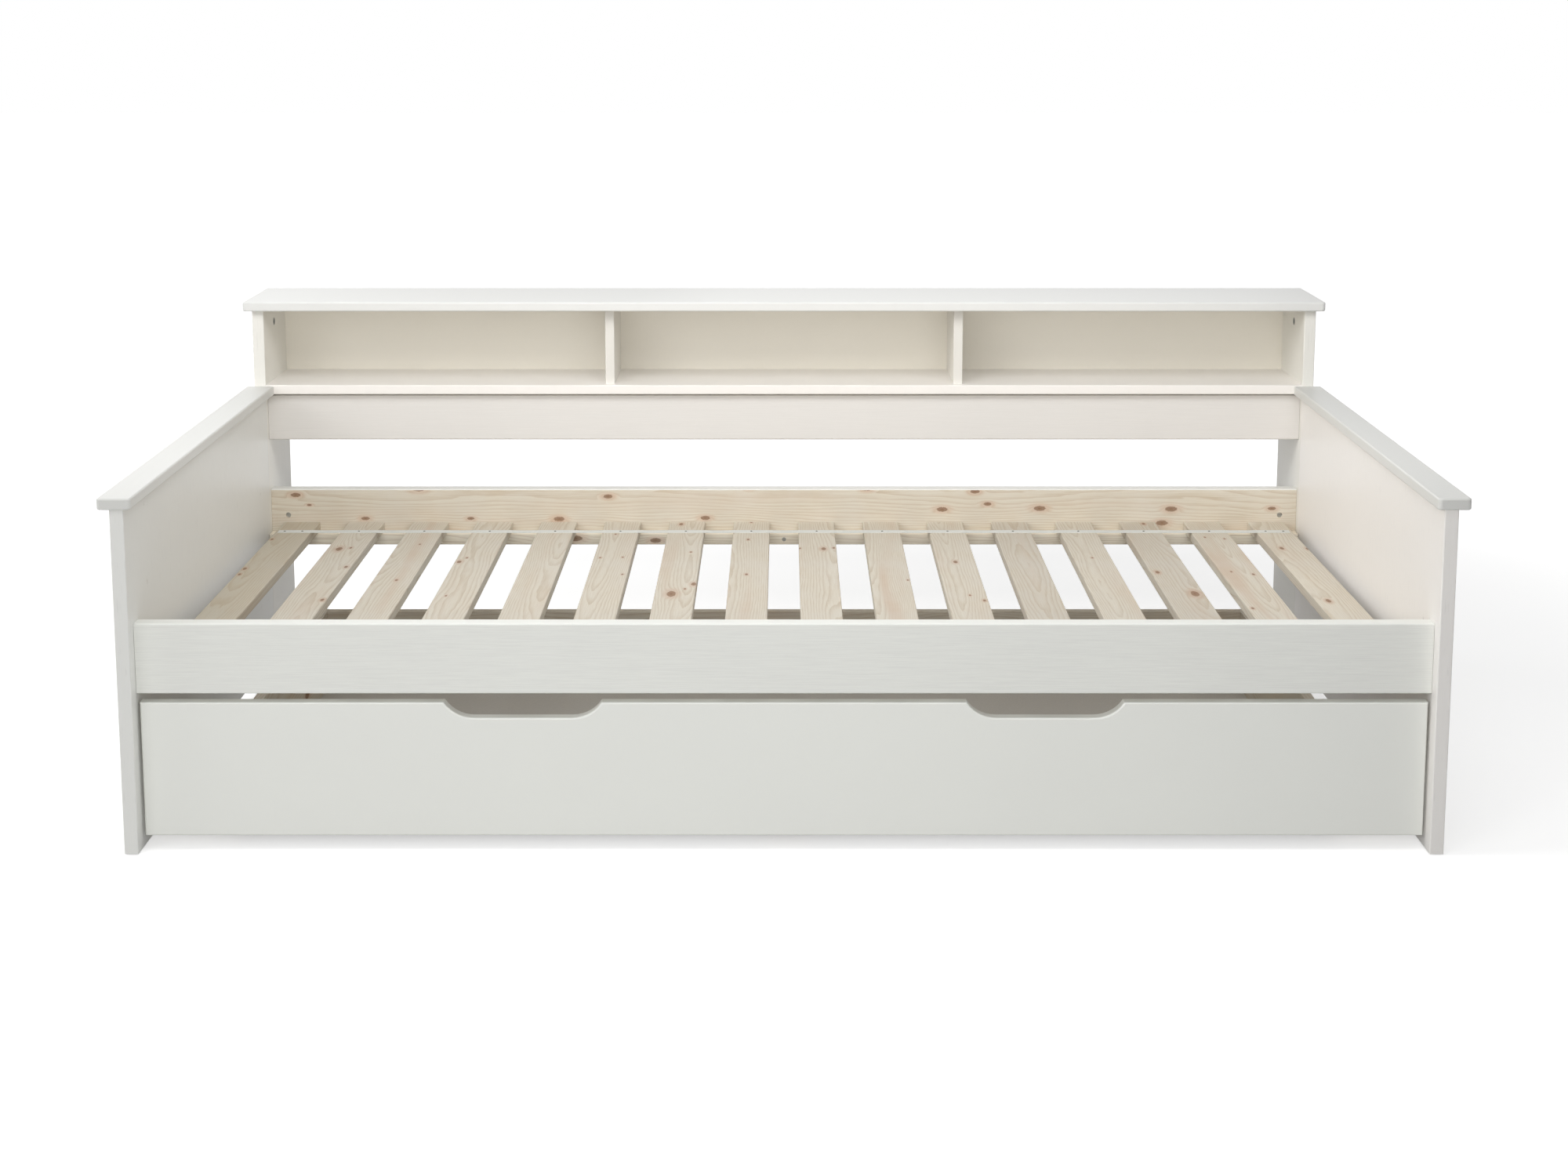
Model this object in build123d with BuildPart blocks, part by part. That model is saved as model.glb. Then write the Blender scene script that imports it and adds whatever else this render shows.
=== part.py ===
from build123d import *
import os

# Single daybed with a bookcase along its back, a slatted base and one wide drawer on wheels.
# Millimetres. X runs along the bed, the front faces -Y and the floor is Z = 0.

# Mattress, and the play left round it in the bed
mattress_length = 2000
mattress_width = 900
mattress_end_play = 2
mattress_side_play = 1.5

# End panels, rear side boards and their caps. The end caps' tops lie end_drop below the shelf's.
panel_thickness = 22
cap_thickness = 18
cap_overhang = 15
cap_round = 3
cap_corner_round = 7.5
edge_round = 2
end_drop = 2
foot_length = 90
arch_height = 33
arch_round = 20
joint_gap = 0.3

# Glides under the end panels and the rear side boards
glide_height = 2
glide_diameter = 18
glide_inset = 41
glide_pin_diameter = 3
glide_pin_length = 12

# Bookcase
bookcase_height = 736
bookcase_depth = 190
shelf_height = 572
shelf_thickness = 18
back_panel_thickness = 6
divider_thickness = 18
divider_setback = 14
compartments = 3

# Rails: each has a bolt with a barrel nut and two dowels at either end
rail_thickness = 26
rail_bottom = 252
rail_height = 112
rail_round = 3
rail_end_gap = 0.4
front_rail_setback = 25
rear_rail_setback = 13
upper_rail_height = 88
upper_rail_gap = 4
bolt_rise = 60
upper_bolt_rise = 44
rail_dowel_spread = 28
rail_dowel_depth = 24

# Slats, the battens they lie on and the two webbing straps over them
slat_count = 16
slat_width = 70
slat_thickness = 18
slat_top = 298
slat_round = 2
slat_end_gap = 24.5
slat_tip_gap = 1
batten_depth = 28
batten_height = 20
batten_end_gap = 1
strap_width = 18
strap_thickness = 1.2
strap_inset = 80
strap_hem = 6

# Tacks through the straps, one in the middle of each slat and two in either end slat
tack_diameter = 1.6
tack_length = 12
tack_head_diameter = 4.4
tack_head_height = 0.8
end_tack_spread = 34

# Connecting bolts and barrel nuts
bolt_diameter = 6
bolt_head_diameter = 15
bolt_head_height = 2.5
bolt_socket = 4
bolt_past_nut = 8
nut_diameter = 10
nut_length = 18
nut_inset = 32

# Dowels, cam locks and cam bolts
dowel_diameter = 8
dowel_depth = 12
divider_dowel_diameter = 6
divider_dowel_depth = 9
cam_diameter = 15
cam_depth = 12.5
cam_inset = 34
cam_slot_width = 1.8
cam_slot_depth = 2
cam_bolt_diameter = 7
cam_bolt_bite = 11
cam_bolt_drop = 6.5
shelf_cam_spread = 55

# Wood screws and panel pins
batten_screw_diameter = 4
batten_screw_length = 45
batten_screw_count = 7
box_screw_diameter = 4.5
box_screw_length = 45
bracket_screw_diameter = 3.5
bracket_screw_length = 15
pan_head_height = 2
head_ratio = 2
head_taper = 45
pin_diameter = 1.6
pin_length = 22
pin_head_diameter = 4
pin_head_height = 0.6

# Play of every fixing in its hole, on the diameter and past its end
bore_play = 0.2
bore_end_play = 0.5

# Where fixings stand along their joints, as shares of the joint's length
cap_dowel_shares = (0.1, 0.5, 0.9)
joint_dowel_shares = (0.15, 0.5, 0.85)
joint_cam_shares = (0.33, 0.67)
divider_dowel_shares = (0.2, 0.8)
divider_pin_shares = (0.3, 0.7)
shelf_pin_shares = (-0.9, -0.6, -0.3, 0, 0.3, 0.6, 0.9)
side_glide_shares = (0.25, 0.75)
drawer_cam_shares = (0.25, 0.75)
box_screw_shares = (0.2, 0.5, 0.8)
stay_screw_shares = (0.15, 0.5, 0.85)

# Drawer
front_thickness = 18
front_side_gap = 4.5
front_floor_gap = 22
front_top_gap = 14
front_round = 3
grip_flat = 153
grip_reach = 45.5
grip_depth = 25
grip_spacing = 810
box_inset = 125.5
box_thickness = 18
box_height = 156
box_depth = 716
box_round = 1.5
bottom_thickness = 6
bottom_rise = 8
groove_depth = 6
groove_play = 0.3
stay_width = 70
stay_thickness = 14
stay_screw_length = 16

# Drawer wheels and the brackets that hold them on the outside of the drawer
wheel_diameter = 50
wheel_width = 18
wheel_round = 3
rim_thickness = 6
hub_diameter = 18
web_thickness = 7
axle_diameter = 6
axle_play = 0.08
axle_head_diameter = 10
axle_head_height = 1.5
wheel_side_play = 2
bracket_plate = 2
bracket_length = 60
bracket_drop = 12
bracket_roof_gap = 4
bracket_back_height = 30
bracket_screw_spread = 40
wheel_inset = 95

# Places that follow from the sizes above
well = mattress_length / 2 + mattress_end_play
outer = well + panel_thickness
panel_depth = (
    front_rail_setback + rail_thickness + mattress_width + 2 * mattress_side_play - rear_rail_setback
)
front = cap_overhang - (cap_overhang + panel_depth + bookcase_depth) / 2
joint = front + panel_depth
back = joint + bookcase_depth
front_rail_y = (front + front_rail_setback, front + front_rail_setback + rail_thickness)
rear_rail_y = (joint + rear_rail_setback, joint + rear_rail_setback + rail_thickness)
slat_y = (front_rail_y[1] + slat_tip_gap, rear_rail_y[0] - slat_tip_gap)

end_height = shelf_height - end_drop
panel_y = (front, joint - joint_gap)
panel_z = (glide_height, end_height - cap_thickness)
side_z = (glide_height, bookcase_height - cap_thickness)
shelf_z = (shelf_height - shelf_thickness, shelf_height)
lower_rail_z = (rail_bottom, rail_bottom + rail_height)
upper_rail_z = (shelf_z[0] - upper_rail_gap - upper_rail_height, shelf_z[0] - upper_rail_gap)
slat_z = (slat_top - slat_thickness, slat_top)
batten_z = (slat_z[0] - batten_height, slat_z[0])
back_panel_y = (back - back_panel_thickness, back)

front_y = (front_rail_y[0], front_rail_y[0] + front_thickness)
front_x = well - front_side_gap
front_z = (front_floor_gap, rail_bottom - front_top_gap)
box_y = (front_y[1], front_y[1] + box_depth)
box_outer = front_x - box_inset
box_inner = box_outer - box_thickness
box_z = (front_floor_gap, front_floor_gap + box_height)
box_back_y = (box_y[1] - box_thickness, box_y[1])
bottom_z = (box_z[0] + bottom_rise, box_z[0] + bottom_rise + bottom_thickness)

hands = (("left", -1), ("right", 1))


# A span from near to far, counted outwards from the middle of the bed on one side
def hand_span(side, near, far):
    return tuple(sorted((side * near, side * far)))


# A rectangular block that fills three spans
def block(x_span, y_span, z_span, mode=Mode.ADD):
    spans = (x_span, y_span, z_span)
    with Locations(tuple((low + high) / 2 for low, high in spans)):
        Box(*(high - low for low, high in spans), mode=mode)


# A round rod from start along direction, added to or cut from the piece being made
def rod(start, direction, diameter, length, mode=Mode.ADD):
    with BuildSketch(Plane(origin=start, z_dir=direction)) as section:
        Circle(diameter / 2)
    extrude(section.sketch, amount=length, mode=mode)


# Adds a countersunk screw for each listed rod, wider and longer by the given plays
def sunk_screws(rods, play=0, end_play=0):
    for start, direction, diameter, length in rods:
        rod(start, direction, diameter + play, length + end_play)
        with BuildSketch(Plane(origin=start, z_dir=direction)) as head:
            Circle((head_ratio * diameter + play) / 2)
        head_depth = (head_ratio - 1) * diameter / 2
        extrude(head.sketch, amount=head_depth, taper=head_taper)


# Adds the hole of each listed rod, with the play that fixings have in their holes
def bores(rods):
    for start, direction, diameter, length in rods:
        rod(start, direction, diameter + bore_play, length + bore_end_play)


# Cuts the hole of each listed rod
def drill(rods):
    for start, direction, diameter, length in rods:
        rod(start, direction, diameter + bore_play, length + bore_end_play, mode=Mode.SUBTRACT)


def write_piece(piece, name):
    piece.part.label = name
    export_step(piece.part, f"parts/{name}.step")


os.makedirs("parts", exist_ok=True)

# Fixings are listed as rods: start, direction, diameter and length. The pieces that they
# cross are drilled from the same lists.

# Bolts, barrel nuts and dowels at the rail ends. Nut holes open on the face that nut_side names.
bolts, nuts, nut_bores, rail_dowels = [], [], [], []
rail_joints = (
    (front_rail_y, lower_rail_z[0] + bolt_rise, 1),
    (rear_rail_y, lower_rail_z[0] + bolt_rise, -1),
    (rear_rail_y, upper_rail_z[0] + upper_bolt_rise, 1),
)
nut_x = well - rail_end_gap - nut_inset
bolt_length = outer - nut_x + bolt_past_nut
for rail_y, bolt_z, nut_side in rail_joints:
    middle_y = sum(rail_y) / 2
    nut_bore_depth = (rail_thickness + nut_length) / 2
    nut_mouth_y = middle_y + nut_side * rail_thickness / 2
    for hand, side in hands:
        inward = (-side, 0, 0)
        bolts.append(((side * outer, middle_y, bolt_z), inward, bolt_diameter, bolt_length))
        nut_start = (side * nut_x, middle_y - nut_length / 2, bolt_z)
        nuts.append((nut_start, (0, 1, 0), nut_diameter, nut_length))
        nut_bore_start = (side * nut_x, nut_mouth_y, bolt_z)
        nut_bores.append((nut_bore_start, (0, -nut_side, 0), nut_diameter, nut_bore_depth))
        for dowel_z in (bolt_z - rail_dowel_spread, bolt_z + rail_dowel_spread):
            dowel_start = (side * (well + dowel_depth), middle_y, dowel_z)
            dowel_length = dowel_depth + rail_dowel_depth
            rail_dowels.append((dowel_start, inward, dowel_diameter, dowel_length))

# Dowels that stand in the end panels' tops and lie across the joint to the rear side boards
panel_middle = well + panel_thickness / 2
cap_dowels, joint_dowels, cams, cam_bolts = [], [], [], []
for hand, side in hands:
    for share in cap_dowel_shares:
        start = (side * panel_middle, front + share * panel_depth, panel_z[1] - dowel_depth)
        cap_dowels.append((start, (0, 0, 1), dowel_diameter, 2 * dowel_depth))
    for share in joint_dowel_shares:
        start = (side * panel_middle, joint - dowel_depth, share * panel_z[1])
        joint_dowels.append((start, (0, 1, 0), dowel_diameter, 2 * dowel_depth))

# Cam locks: each is a disc let into a board's face, and its bolt is screwed into the next board.
# Listed as the disc's rod and the bolt's rod, which starts in the board that it bites.
for hand, side in hands:
    inward = (-side, 0, 0)
    # Outside of the end panel, drawing the rear side board to it
    for share in joint_cam_shares:
        cam_z = share * panel_z[1]
        disc_start = (side * outer, joint - cam_inset, cam_z)
        cams.append((disc_start, inward, cam_diameter, cam_depth))
        bolt_start = (side * (outer - cam_bolt_drop), joint + cam_bolt_bite, cam_z)
        cam_bolts.append((bolt_start, (0, -1, 0), cam_bolt_diameter, cam_bolt_bite + cam_inset))
    # Inside of the rear side board, holding the bookcase's top
    top_cam_y = joint + (bookcase_depth - divider_setback) / 2
    disc_start = (side * well, top_cam_y, side_z[1] - cam_inset)
    cams.append((disc_start, (side, 0, 0), cam_diameter, cam_depth))
    bolt_start = (side * (well + cam_bolt_drop), top_cam_y, side_z[1] + cam_bolt_bite)
    cam_bolts.append((bolt_start, (0, 0, -1), cam_bolt_diameter, cam_bolt_bite + cam_inset))
    # Underside of the shelf board, holding it to the rear side board
    for cam_y in (top_cam_y - shelf_cam_spread, top_cam_y + shelf_cam_spread):
        disc_start = (side * (well - cam_inset), cam_y, shelf_z[0])
        cams.append((disc_start, (0, 0, 1), cam_diameter, cam_depth))
        bolt_start = (side * (well + cam_bolt_bite), cam_y, shelf_z[0] + cam_bolt_drop)
        cam_bolts.append((bolt_start, inward, cam_bolt_diameter, cam_bolt_bite + cam_inset))

# Dowels over and under the dividers, which share the bookcase's length equally
compartment = (2 * well - (compartments - 1) * divider_thickness) / compartments
divider_x = compartment / 2
divider_y = (joint + divider_setback, back_panel_y[0])
divider_dowels = []
for hand, side in hands:
    for share in divider_dowel_shares:
        dowel_y = divider_y[0] + share * (divider_y[1] - divider_y[0])
        dowel_x = side * (divider_x + divider_thickness / 2)
        for seat_z in (shelf_z[1], side_z[1]):
            start = (dowel_x, dowel_y, seat_z - divider_dowel_depth)
            divider_dowels.append(
                (start, (0, 0, 1), divider_dowel_diameter, 2 * divider_dowel_depth)
            )

# Pins through the back panel into the shelf board and the dividers
back_pins = []
for share in shelf_pin_shares:
    start = (share * well, back, shelf_height - shelf_thickness / 2)
    back_pins.append((start, (0, -1, 0), pin_diameter, pin_length))
for hand, side in hands:
    for share in divider_pin_shares:
        pin_z = shelf_z[1] + share * (side_z[1] - shelf_z[1])
        start = (side * (divider_x + divider_thickness / 2), back, pin_z)
        back_pins.append((start, (0, -1, 0), pin_diameter, pin_length))

back_pin_heads = [
    (start, direction, pin_head_diameter, pin_head_height)
    for start, direction, diameter, length in back_pins
]

# Pins of the glides
glide_pins = []
glide_places = [front + glide_inset, joint - glide_inset]
glide_places += [joint + share * bookcase_depth for share in side_glide_shares]
for hand, side in hands:
    for glide_y in glide_places:
        start = (side * panel_middle, glide_y, 0)
        glide_pins.append((start, (0, 0, 1), glide_pin_diameter, glide_height + glide_pin_length))

# Screws that hold the battens to their rails, heads on the battens' inner faces
front_batten_y = (front_rail_y[1], front_rail_y[1] + batten_depth)
rear_batten_y = (rear_rail_y[0] - batten_depth, rear_rail_y[0])
batten_screws = []
for index in range(batten_screw_count):
    screw_x = 2 * well * ((index + 0.5) / batten_screw_count - 0.5)
    for head_y, toward in ((front_batten_y[1], -1), (rear_batten_y[0], 1)):
        start = (screw_x, head_y, sum(batten_z) / 2)
        batten_screws.append((start, (0, toward, 0), batten_screw_diameter, batten_screw_length))

frame_rods = rail_dowels + cap_dowels + joint_dowels + divider_dowels + cams + cam_bolts
frame_rods += bolts + nut_bores + back_pins + back_pin_heads + glide_pins
with BuildPart() as frame_bores:
    bores(frame_rods)
    sunk_screws(batten_screws, bore_play, bore_end_play)

# End panels: front edges rounded, the bottom raised between two feet
for hand, side in hands:
    panel_x = hand_span(side, well, outer)
    with BuildPart() as end_panel:
        block(panel_x, panel_y, panel_z)
        with BuildSketch(Plane.YZ.offset(panel_x[0])):
            with Locations((sum(panel_y) / 2, panel_z[0])):
                arch_length = panel_y[1] - panel_y[0] - 2 * foot_length
                RectangleRounded(arch_length, 2 * arch_height, arch_round)
        extrude(amount=panel_thickness, mode=Mode.SUBTRACT)
        fillet(end_panel.edges().filter_by(Axis.Z).group_by(Axis.Y)[0], edge_round)
        add(frame_bores.part, mode=Mode.SUBTRACT)
    write_piece(end_panel, f"end_panel_{hand}")

# End caps: front corners rounded, every edge eased except at the butt to the rear side board
for hand, side in hands:
    cap_x = hand_span(side, well - cap_overhang, outer + cap_overhang)
    cap_y = (panel_y[0] - cap_overhang, panel_y[1])
    with BuildPart() as end_cap:
        block(cap_x, cap_y, (panel_z[1], end_height))
        fillet(end_cap.edges().filter_by(Axis.Z).group_by(Axis.Y)[0], cap_corner_round)
        rims = end_cap.edges().filter_by(Axis.Z, reverse=True).group_by(Axis.Y)[:-1]
        fillet([edge for rim in rims for edge in rim], cap_round)
        add(frame_bores.part, mode=Mode.SUBTRACT)
    write_piece(end_cap, f"end_cap_{hand}")

# Rear side boards, from the floor to the bookcase's top
for hand, side in hands:
    with BuildPart() as rear_side:
        block(hand_span(side, well, outer), (joint, back), side_z)
        fillet(rear_side.edges().filter_by(Axis.Z).group_by(Axis.Y)[0], edge_round)
        add(frame_bores.part, mode=Mode.SUBTRACT)
    write_piece(rear_side, f"rear_side_{hand}")

# Bookcase top: overhangs the front and both ends, flush at the back
top_x = (-outer - cap_overhang, outer + cap_overhang)
with BuildPart() as bookcase_top:
    block(top_x, (joint - cap_overhang, back), (side_z[1], bookcase_height))
    fillet(bookcase_top.edges().filter_by(Axis.Z).group_by(Axis.Y)[0], cap_corner_round)
    rims = bookcase_top.edges().filter_by(Axis.Z, reverse=True).group_by(Axis.Y)[:-1]
    fillet([edge for rim in rims for edge in rim], cap_round)
    add(frame_bores.part, mode=Mode.SUBTRACT)
write_piece(bookcase_top, "bookcase_top")

with BuildPart() as shelf_board:
    block((-well, well), (joint, back_panel_y[0]), shelf_z)
    fillet(shelf_board.edges().filter_by(Axis.X).group_by(Axis.Y)[0], edge_round)
    add(frame_bores.part, mode=Mode.SUBTRACT)
write_piece(shelf_board, "shelf_board")

with BuildPart() as shelf_back_panel:
    block((-well, well), back_panel_y, (shelf_z[0], side_z[1]))
    add(frame_bores.part, mode=Mode.SUBTRACT)
write_piece(shelf_back_panel, "shelf_back_panel")

for hand, side in hands:
    with BuildPart() as divider:
        divider_span = hand_span(side, divider_x, divider_x + divider_thickness)
        block(divider_span, divider_y, (shelf_z[1], side_z[1]))
        fillet(divider.edges().filter_by(Axis.Z).group_by(Axis.Y)[0], edge_round)
        add(frame_bores.part, mode=Mode.SUBTRACT)
    write_piece(divider, f"shelf_divider_{hand}")

# Rails
rail_span = (-well + rail_end_gap, well - rail_end_gap)
rail_places = (
    ("front_rail", front_rail_y, lower_rail_z),
    ("rear_lower_rail", rear_rail_y, lower_rail_z),
    ("rear_upper_rail", rear_rail_y, upper_rail_z),
)
for name, rail_y, rail_z in rail_places:
    with BuildPart() as rail:
        block(rail_span, rail_y, rail_z)
        fillet(rail.edges().filter_by(Axis.X), rail_round)
        add(frame_bores.part, mode=Mode.SUBTRACT)
    write_piece(rail, name)

# Battens under the slats' ends
batten_x = (-well + batten_end_gap, well - batten_end_gap)
for name, batten_y in (("front", front_batten_y), ("rear", rear_batten_y)):
    with BuildPart() as slat_batten:
        block(batten_x, batten_y, batten_z)
        add(frame_bores.part, mode=Mode.SUBTRACT)
    write_piece(slat_batten, f"slat_batten_{name}")

# Slats, evenly spaced between the end panels, each drilled for its tacks
first_slat = -well + slat_end_gap + slat_width / 2
slat_pitch = -2 * first_slat / (slat_count - 1)
strap_places = (front_rail_y[1] + strap_inset, rear_rail_y[0] - strap_inset)
all_tacks = []
for index in range(slat_count):
    slat_x = first_slat + index * slat_pitch
    tack_columns = [slat_x]
    if index in (0, slat_count - 1):
        tack_columns = [slat_x - end_tack_spread / 2, slat_x + end_tack_spread / 2]
    slat_tacks = [(tack_x, strap_y) for tack_x in tack_columns for strap_y in strap_places]
    all_tacks += slat_tacks
    with BuildPart() as slat:
        block((slat_x - slat_width / 2, slat_x + slat_width / 2), slat_y, slat_z)
        fillet(slat.edges().filter_by(Axis.Y), slat_round)
        for tack_x, tack_y in slat_tacks:
            drill([((tack_x, tack_y, slat_top), (0, 0, -1), tack_diameter, tack_length)])
    write_piece(slat, f"slat_{index + 1:02}")

# Straps lie along the slats' tops, over every slat
strap_reach = -first_slat + slat_width / 2 - strap_hem
strap_top = slat_top + strap_thickness
with BuildPart() as slat_straps:
    for strap_y in strap_places:
        strap_span = (strap_y - strap_width / 2, strap_y + strap_width / 2)
        block((-strap_reach, strap_reach), strap_span, (slat_top, strap_top))
    with BuildSketch(Plane.XY.offset(strap_top)):
        with Locations(all_tacks):
            Circle((tack_diameter + bore_play) / 2)
    extrude(amount=-strap_thickness, mode=Mode.SUBTRACT)
write_piece(slat_straps, "slat_straps")

with BuildPart() as strap_tacks:
    with BuildSketch(Plane.XY.offset(strap_top)):
        with Locations(all_tacks):
            Circle(tack_head_diameter / 2)
    extrude(amount=tack_head_height)
    with BuildSketch(Plane.XY.offset(strap_top)):
        with Locations(all_tacks):
            Circle(tack_diameter / 2)
    extrude(amount=-(tack_length + strap_thickness))
write_piece(strap_tacks, "strap_tacks")

# Connecting bolts: a flat head on the board's outer face, with a hexagon socket
with BuildPart() as frame_bolts:
    for start, direction, diameter, length in bolts:
        rod(start, direction, diameter, length)
        outward = tuple(-part for part in direction)
        rod(start, outward, bolt_head_diameter, bolt_head_height)
        socket_start = (start[0] + outward[0] * bolt_head_height, start[1], start[2])
        with BuildSketch(Plane(origin=socket_start, z_dir=outward)) as socket:
            RegularPolygon(bolt_socket / 2, 6, major_radius=False)
        extrude(socket.sketch, amount=-bolt_head_height, mode=Mode.SUBTRACT)
write_piece(frame_bolts, "frame_bolts")

with BuildPart() as barrel_nuts:
    for start, direction, diameter, length in nuts:
        rod(start, direction, diameter, length)
    for start, direction, diameter, length in bolts:
        rod(start, direction, diameter + bore_play, length + nut_diameter, mode=Mode.SUBTRACT)
write_piece(barrel_nuts, "barrel_nuts")

with BuildPart() as frame_dowels:
    for start, direction, diameter, length in rail_dowels + cap_dowels + joint_dowels:
        rod(start, direction, diameter, length)
    for start, direction, diameter, length in divider_dowels:
        rod(start, direction, diameter, length)
write_piece(frame_dowels, "frame_dowels")


# A cam lock's disc: bored from its rim for the bolt, with a cross slot in its open face
def cam_disc(disc, bolt):
    start, inward, diameter, depth = disc
    rod(start, inward, diameter, depth)
    face = Plane(origin=start, z_dir=inward)
    with BuildSketch(face) as slot:
        Rectangle(diameter / 2, cam_slot_width)
        Rectangle(cam_slot_width, diameter / 2)
    extrude(slot.sketch, amount=cam_slot_depth, mode=Mode.SUBTRACT)
    bolt_start, bolt_direction, bolt_diameter, bolt_length = bolt
    rod(
        bolt_start,
        bolt_direction,
        bolt_diameter + bore_play,
        bolt_length + bore_end_play,
        mode=Mode.SUBTRACT,
    )


with BuildPart() as cam_locks:
    for disc, bolt in zip(cams, cam_bolts):
        cam_disc(disc, bolt)
write_piece(cam_locks, "cam_locks")

with BuildPart() as cam_lock_bolts:
    for start, direction, diameter, length in cam_bolts:
        rod(start, direction, diameter, length)
write_piece(cam_lock_bolts, "cam_lock_bolts")

# Screws with countersunk heads, for the battens
with BuildPart() as batten_screw_set:
    sunk_screws(batten_screws)
write_piece(batten_screw_set, "batten_screws")

with BuildPart() as back_panel_pins:
    for start, direction, diameter, length in back_pins + back_pin_heads:
        rod(start, direction, diameter, length)
write_piece(back_panel_pins, "back_panel_pins")

with BuildPart() as floor_glides:
    for start, direction, diameter, length in glide_pins:
        rod(start, direction, glide_diameter, glide_height)
        rod(start, direction, diameter, length)
write_piece(floor_glides, "floor_glides")

# Drawer fixings
drawer_cams, drawer_cam_bolts, box_screws, bracket_screws, axles = [], [], [], [], []
for hand, side in hands:
    inward = (-side, 0, 0)
    for share in drawer_cam_shares:
        cam_z = box_z[0] + share * box_height
        disc_start = (side * box_outer, box_y[0] + cam_inset, cam_z)
        drawer_cams.append((disc_start, inward, cam_diameter, cam_depth))
        bolt_start = (side * (box_outer - cam_bolt_drop), box_y[0] - cam_bolt_bite, cam_z)
        drawer_cam_bolts.append(
            (bolt_start, (0, 1, 0), cam_bolt_diameter, cam_bolt_bite + cam_inset)
        )
    for share in box_screw_shares:
        start = (side * box_outer, sum(box_back_y) / 2, box_z[0] + share * box_height)
        box_screws.append((start, inward, box_screw_diameter, box_screw_length))

# Wheels stand on the floor, and their brackets are screwed to the outside of the drawer's sides
wheel_radius = wheel_diameter / 2
wheel_near = box_outer + bracket_plate + wheel_side_play
wheel_far = wheel_near + wheel_width
bracket_far = wheel_far + wheel_side_play + bracket_plate
bracket_roof = wheel_diameter + bracket_roof_gap
bracket_screw_z = bracket_roof + bracket_plate + bracket_back_height / 2
wheel_places = [
    (f"{end}_{hand}", side, wheel_y)
    for end, wheel_y in (("front", box_y[0] + wheel_inset), ("rear", box_y[1] - wheel_inset))
    for hand, side in hands
]
for name, side, wheel_y in wheel_places:
    axles.append(
        (
            (side * box_outer, wheel_y, wheel_radius),
            (side, 0, 0),
            axle_diameter,
            bracket_far - box_outer,
        )
    )
    for offset in (-bracket_screw_spread / 2, bracket_screw_spread / 2):
        start = (side * (box_outer + bracket_plate), wheel_y + offset, bracket_screw_z)
        bracket_screws.append(
            (start, (-side, 0, 0), bracket_screw_diameter, bracket_screw_length)
        )

# Screws through the stay into the drawer's bottom
stay_z = (bottom_z[0] - stay_thickness, bottom_z[0])
stay_screws = []
for share in stay_screw_shares:
    start = (0, box_y[0] + share * (box_back_y[0] - box_y[0]), stay_z[0])
    stay_screws.append((start, (0, 0, 1), bracket_screw_diameter, stay_screw_length))

with BuildPart() as drawer_bores:
    bores(drawer_cams + drawer_cam_bolts + bracket_screws)
    sunk_screws(box_screws + stay_screws, bore_play, bore_end_play)

# Drawer bottom: slides in grooves of the front, the sides and the back
bottom_x = box_inner + groove_depth - groove_play
bottom_y = (
    front_y[1] - groove_depth + groove_play,
    box_back_y[0] + groove_depth - groove_play,
)
with BuildPart() as drawer_bottom:
    block((-bottom_x, bottom_x), bottom_y, bottom_z)
    add(drawer_bores.part, mode=Mode.SUBTRACT)
write_piece(drawer_bottom, "drawer_bottom")

with BuildPart() as bottom_groove:
    groove_x = box_inner + groove_depth
    groove_y = (front_y[1] - groove_depth, box_back_y[0] + groove_depth)
    block((-groove_x, groove_x), groove_y, bottom_z)

# Drawer front: two finger cut-outs in its top edge, each flat with arcs that rise at both ends
with BuildPart() as drawer_front:
    with BuildSketch(Plane.XZ.offset(-front_y[0])) as front_outline:
        with Locations((0, sum(front_z) / 2)):
            Rectangle(2 * front_x, front_z[1] - front_z[0])
        for side in (-1, 1):
            with BuildSketch(mode=Mode.SUBTRACT):
                grip_x = side * grip_spacing / 2
                grip_z = front_z[1] - grip_depth
                with BuildLine():
                    flat = Line((grip_x - grip_flat / 2, grip_z), (grip_x + grip_flat / 2, grip_z))
                    rise = TangentArc(
                        flat @ 1, (grip_x + grip_flat / 2 + grip_reach, front_z[1]), tangent=(1, 0)
                    )
                    fall = TangentArc(
                        flat @ 0, (grip_x - grip_flat / 2 - grip_reach, front_z[1]), tangent=(-1, 0)
                    )
                    Line(rise @ 1, fall @ 1)
                make_face()
    extrude(amount=-front_thickness)
    fillet(drawer_front.faces().sort_by(Axis.Y)[0].edges(), front_round)
    add(bottom_groove.part, mode=Mode.SUBTRACT)
    add(drawer_bores.part, mode=Mode.SUBTRACT)
write_piece(drawer_front, "drawer_front")

for hand, side in hands:
    with BuildPart() as drawer_side:
        block(hand_span(side, box_inner, box_outer), box_y, box_z)
        fillet(drawer_side.edges().filter_by(Axis.Y).group_by(Axis.Z)[-1], box_round)
        add(bottom_groove.part, mode=Mode.SUBTRACT)
        add(drawer_bores.part, mode=Mode.SUBTRACT)
    write_piece(drawer_side, f"drawer_side_{hand}")

with BuildPart() as drawer_back:
    block((-box_inner, box_inner), box_back_y, box_z)
    fillet(drawer_back.edges().filter_by(Axis.X).group_by(Axis.Z)[-1], box_round)
    add(bottom_groove.part, mode=Mode.SUBTRACT)
    add(drawer_bores.part, mode=Mode.SUBTRACT)
write_piece(drawer_back, "drawer_back")

with BuildPart() as drawer_stay:
    block((-stay_width / 2, stay_width / 2), (box_y[0], box_back_y[0]), stay_z)
    add(drawer_bores.part, mode=Mode.SUBTRACT)
write_piece(drawer_stay, "drawer_stay")

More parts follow.
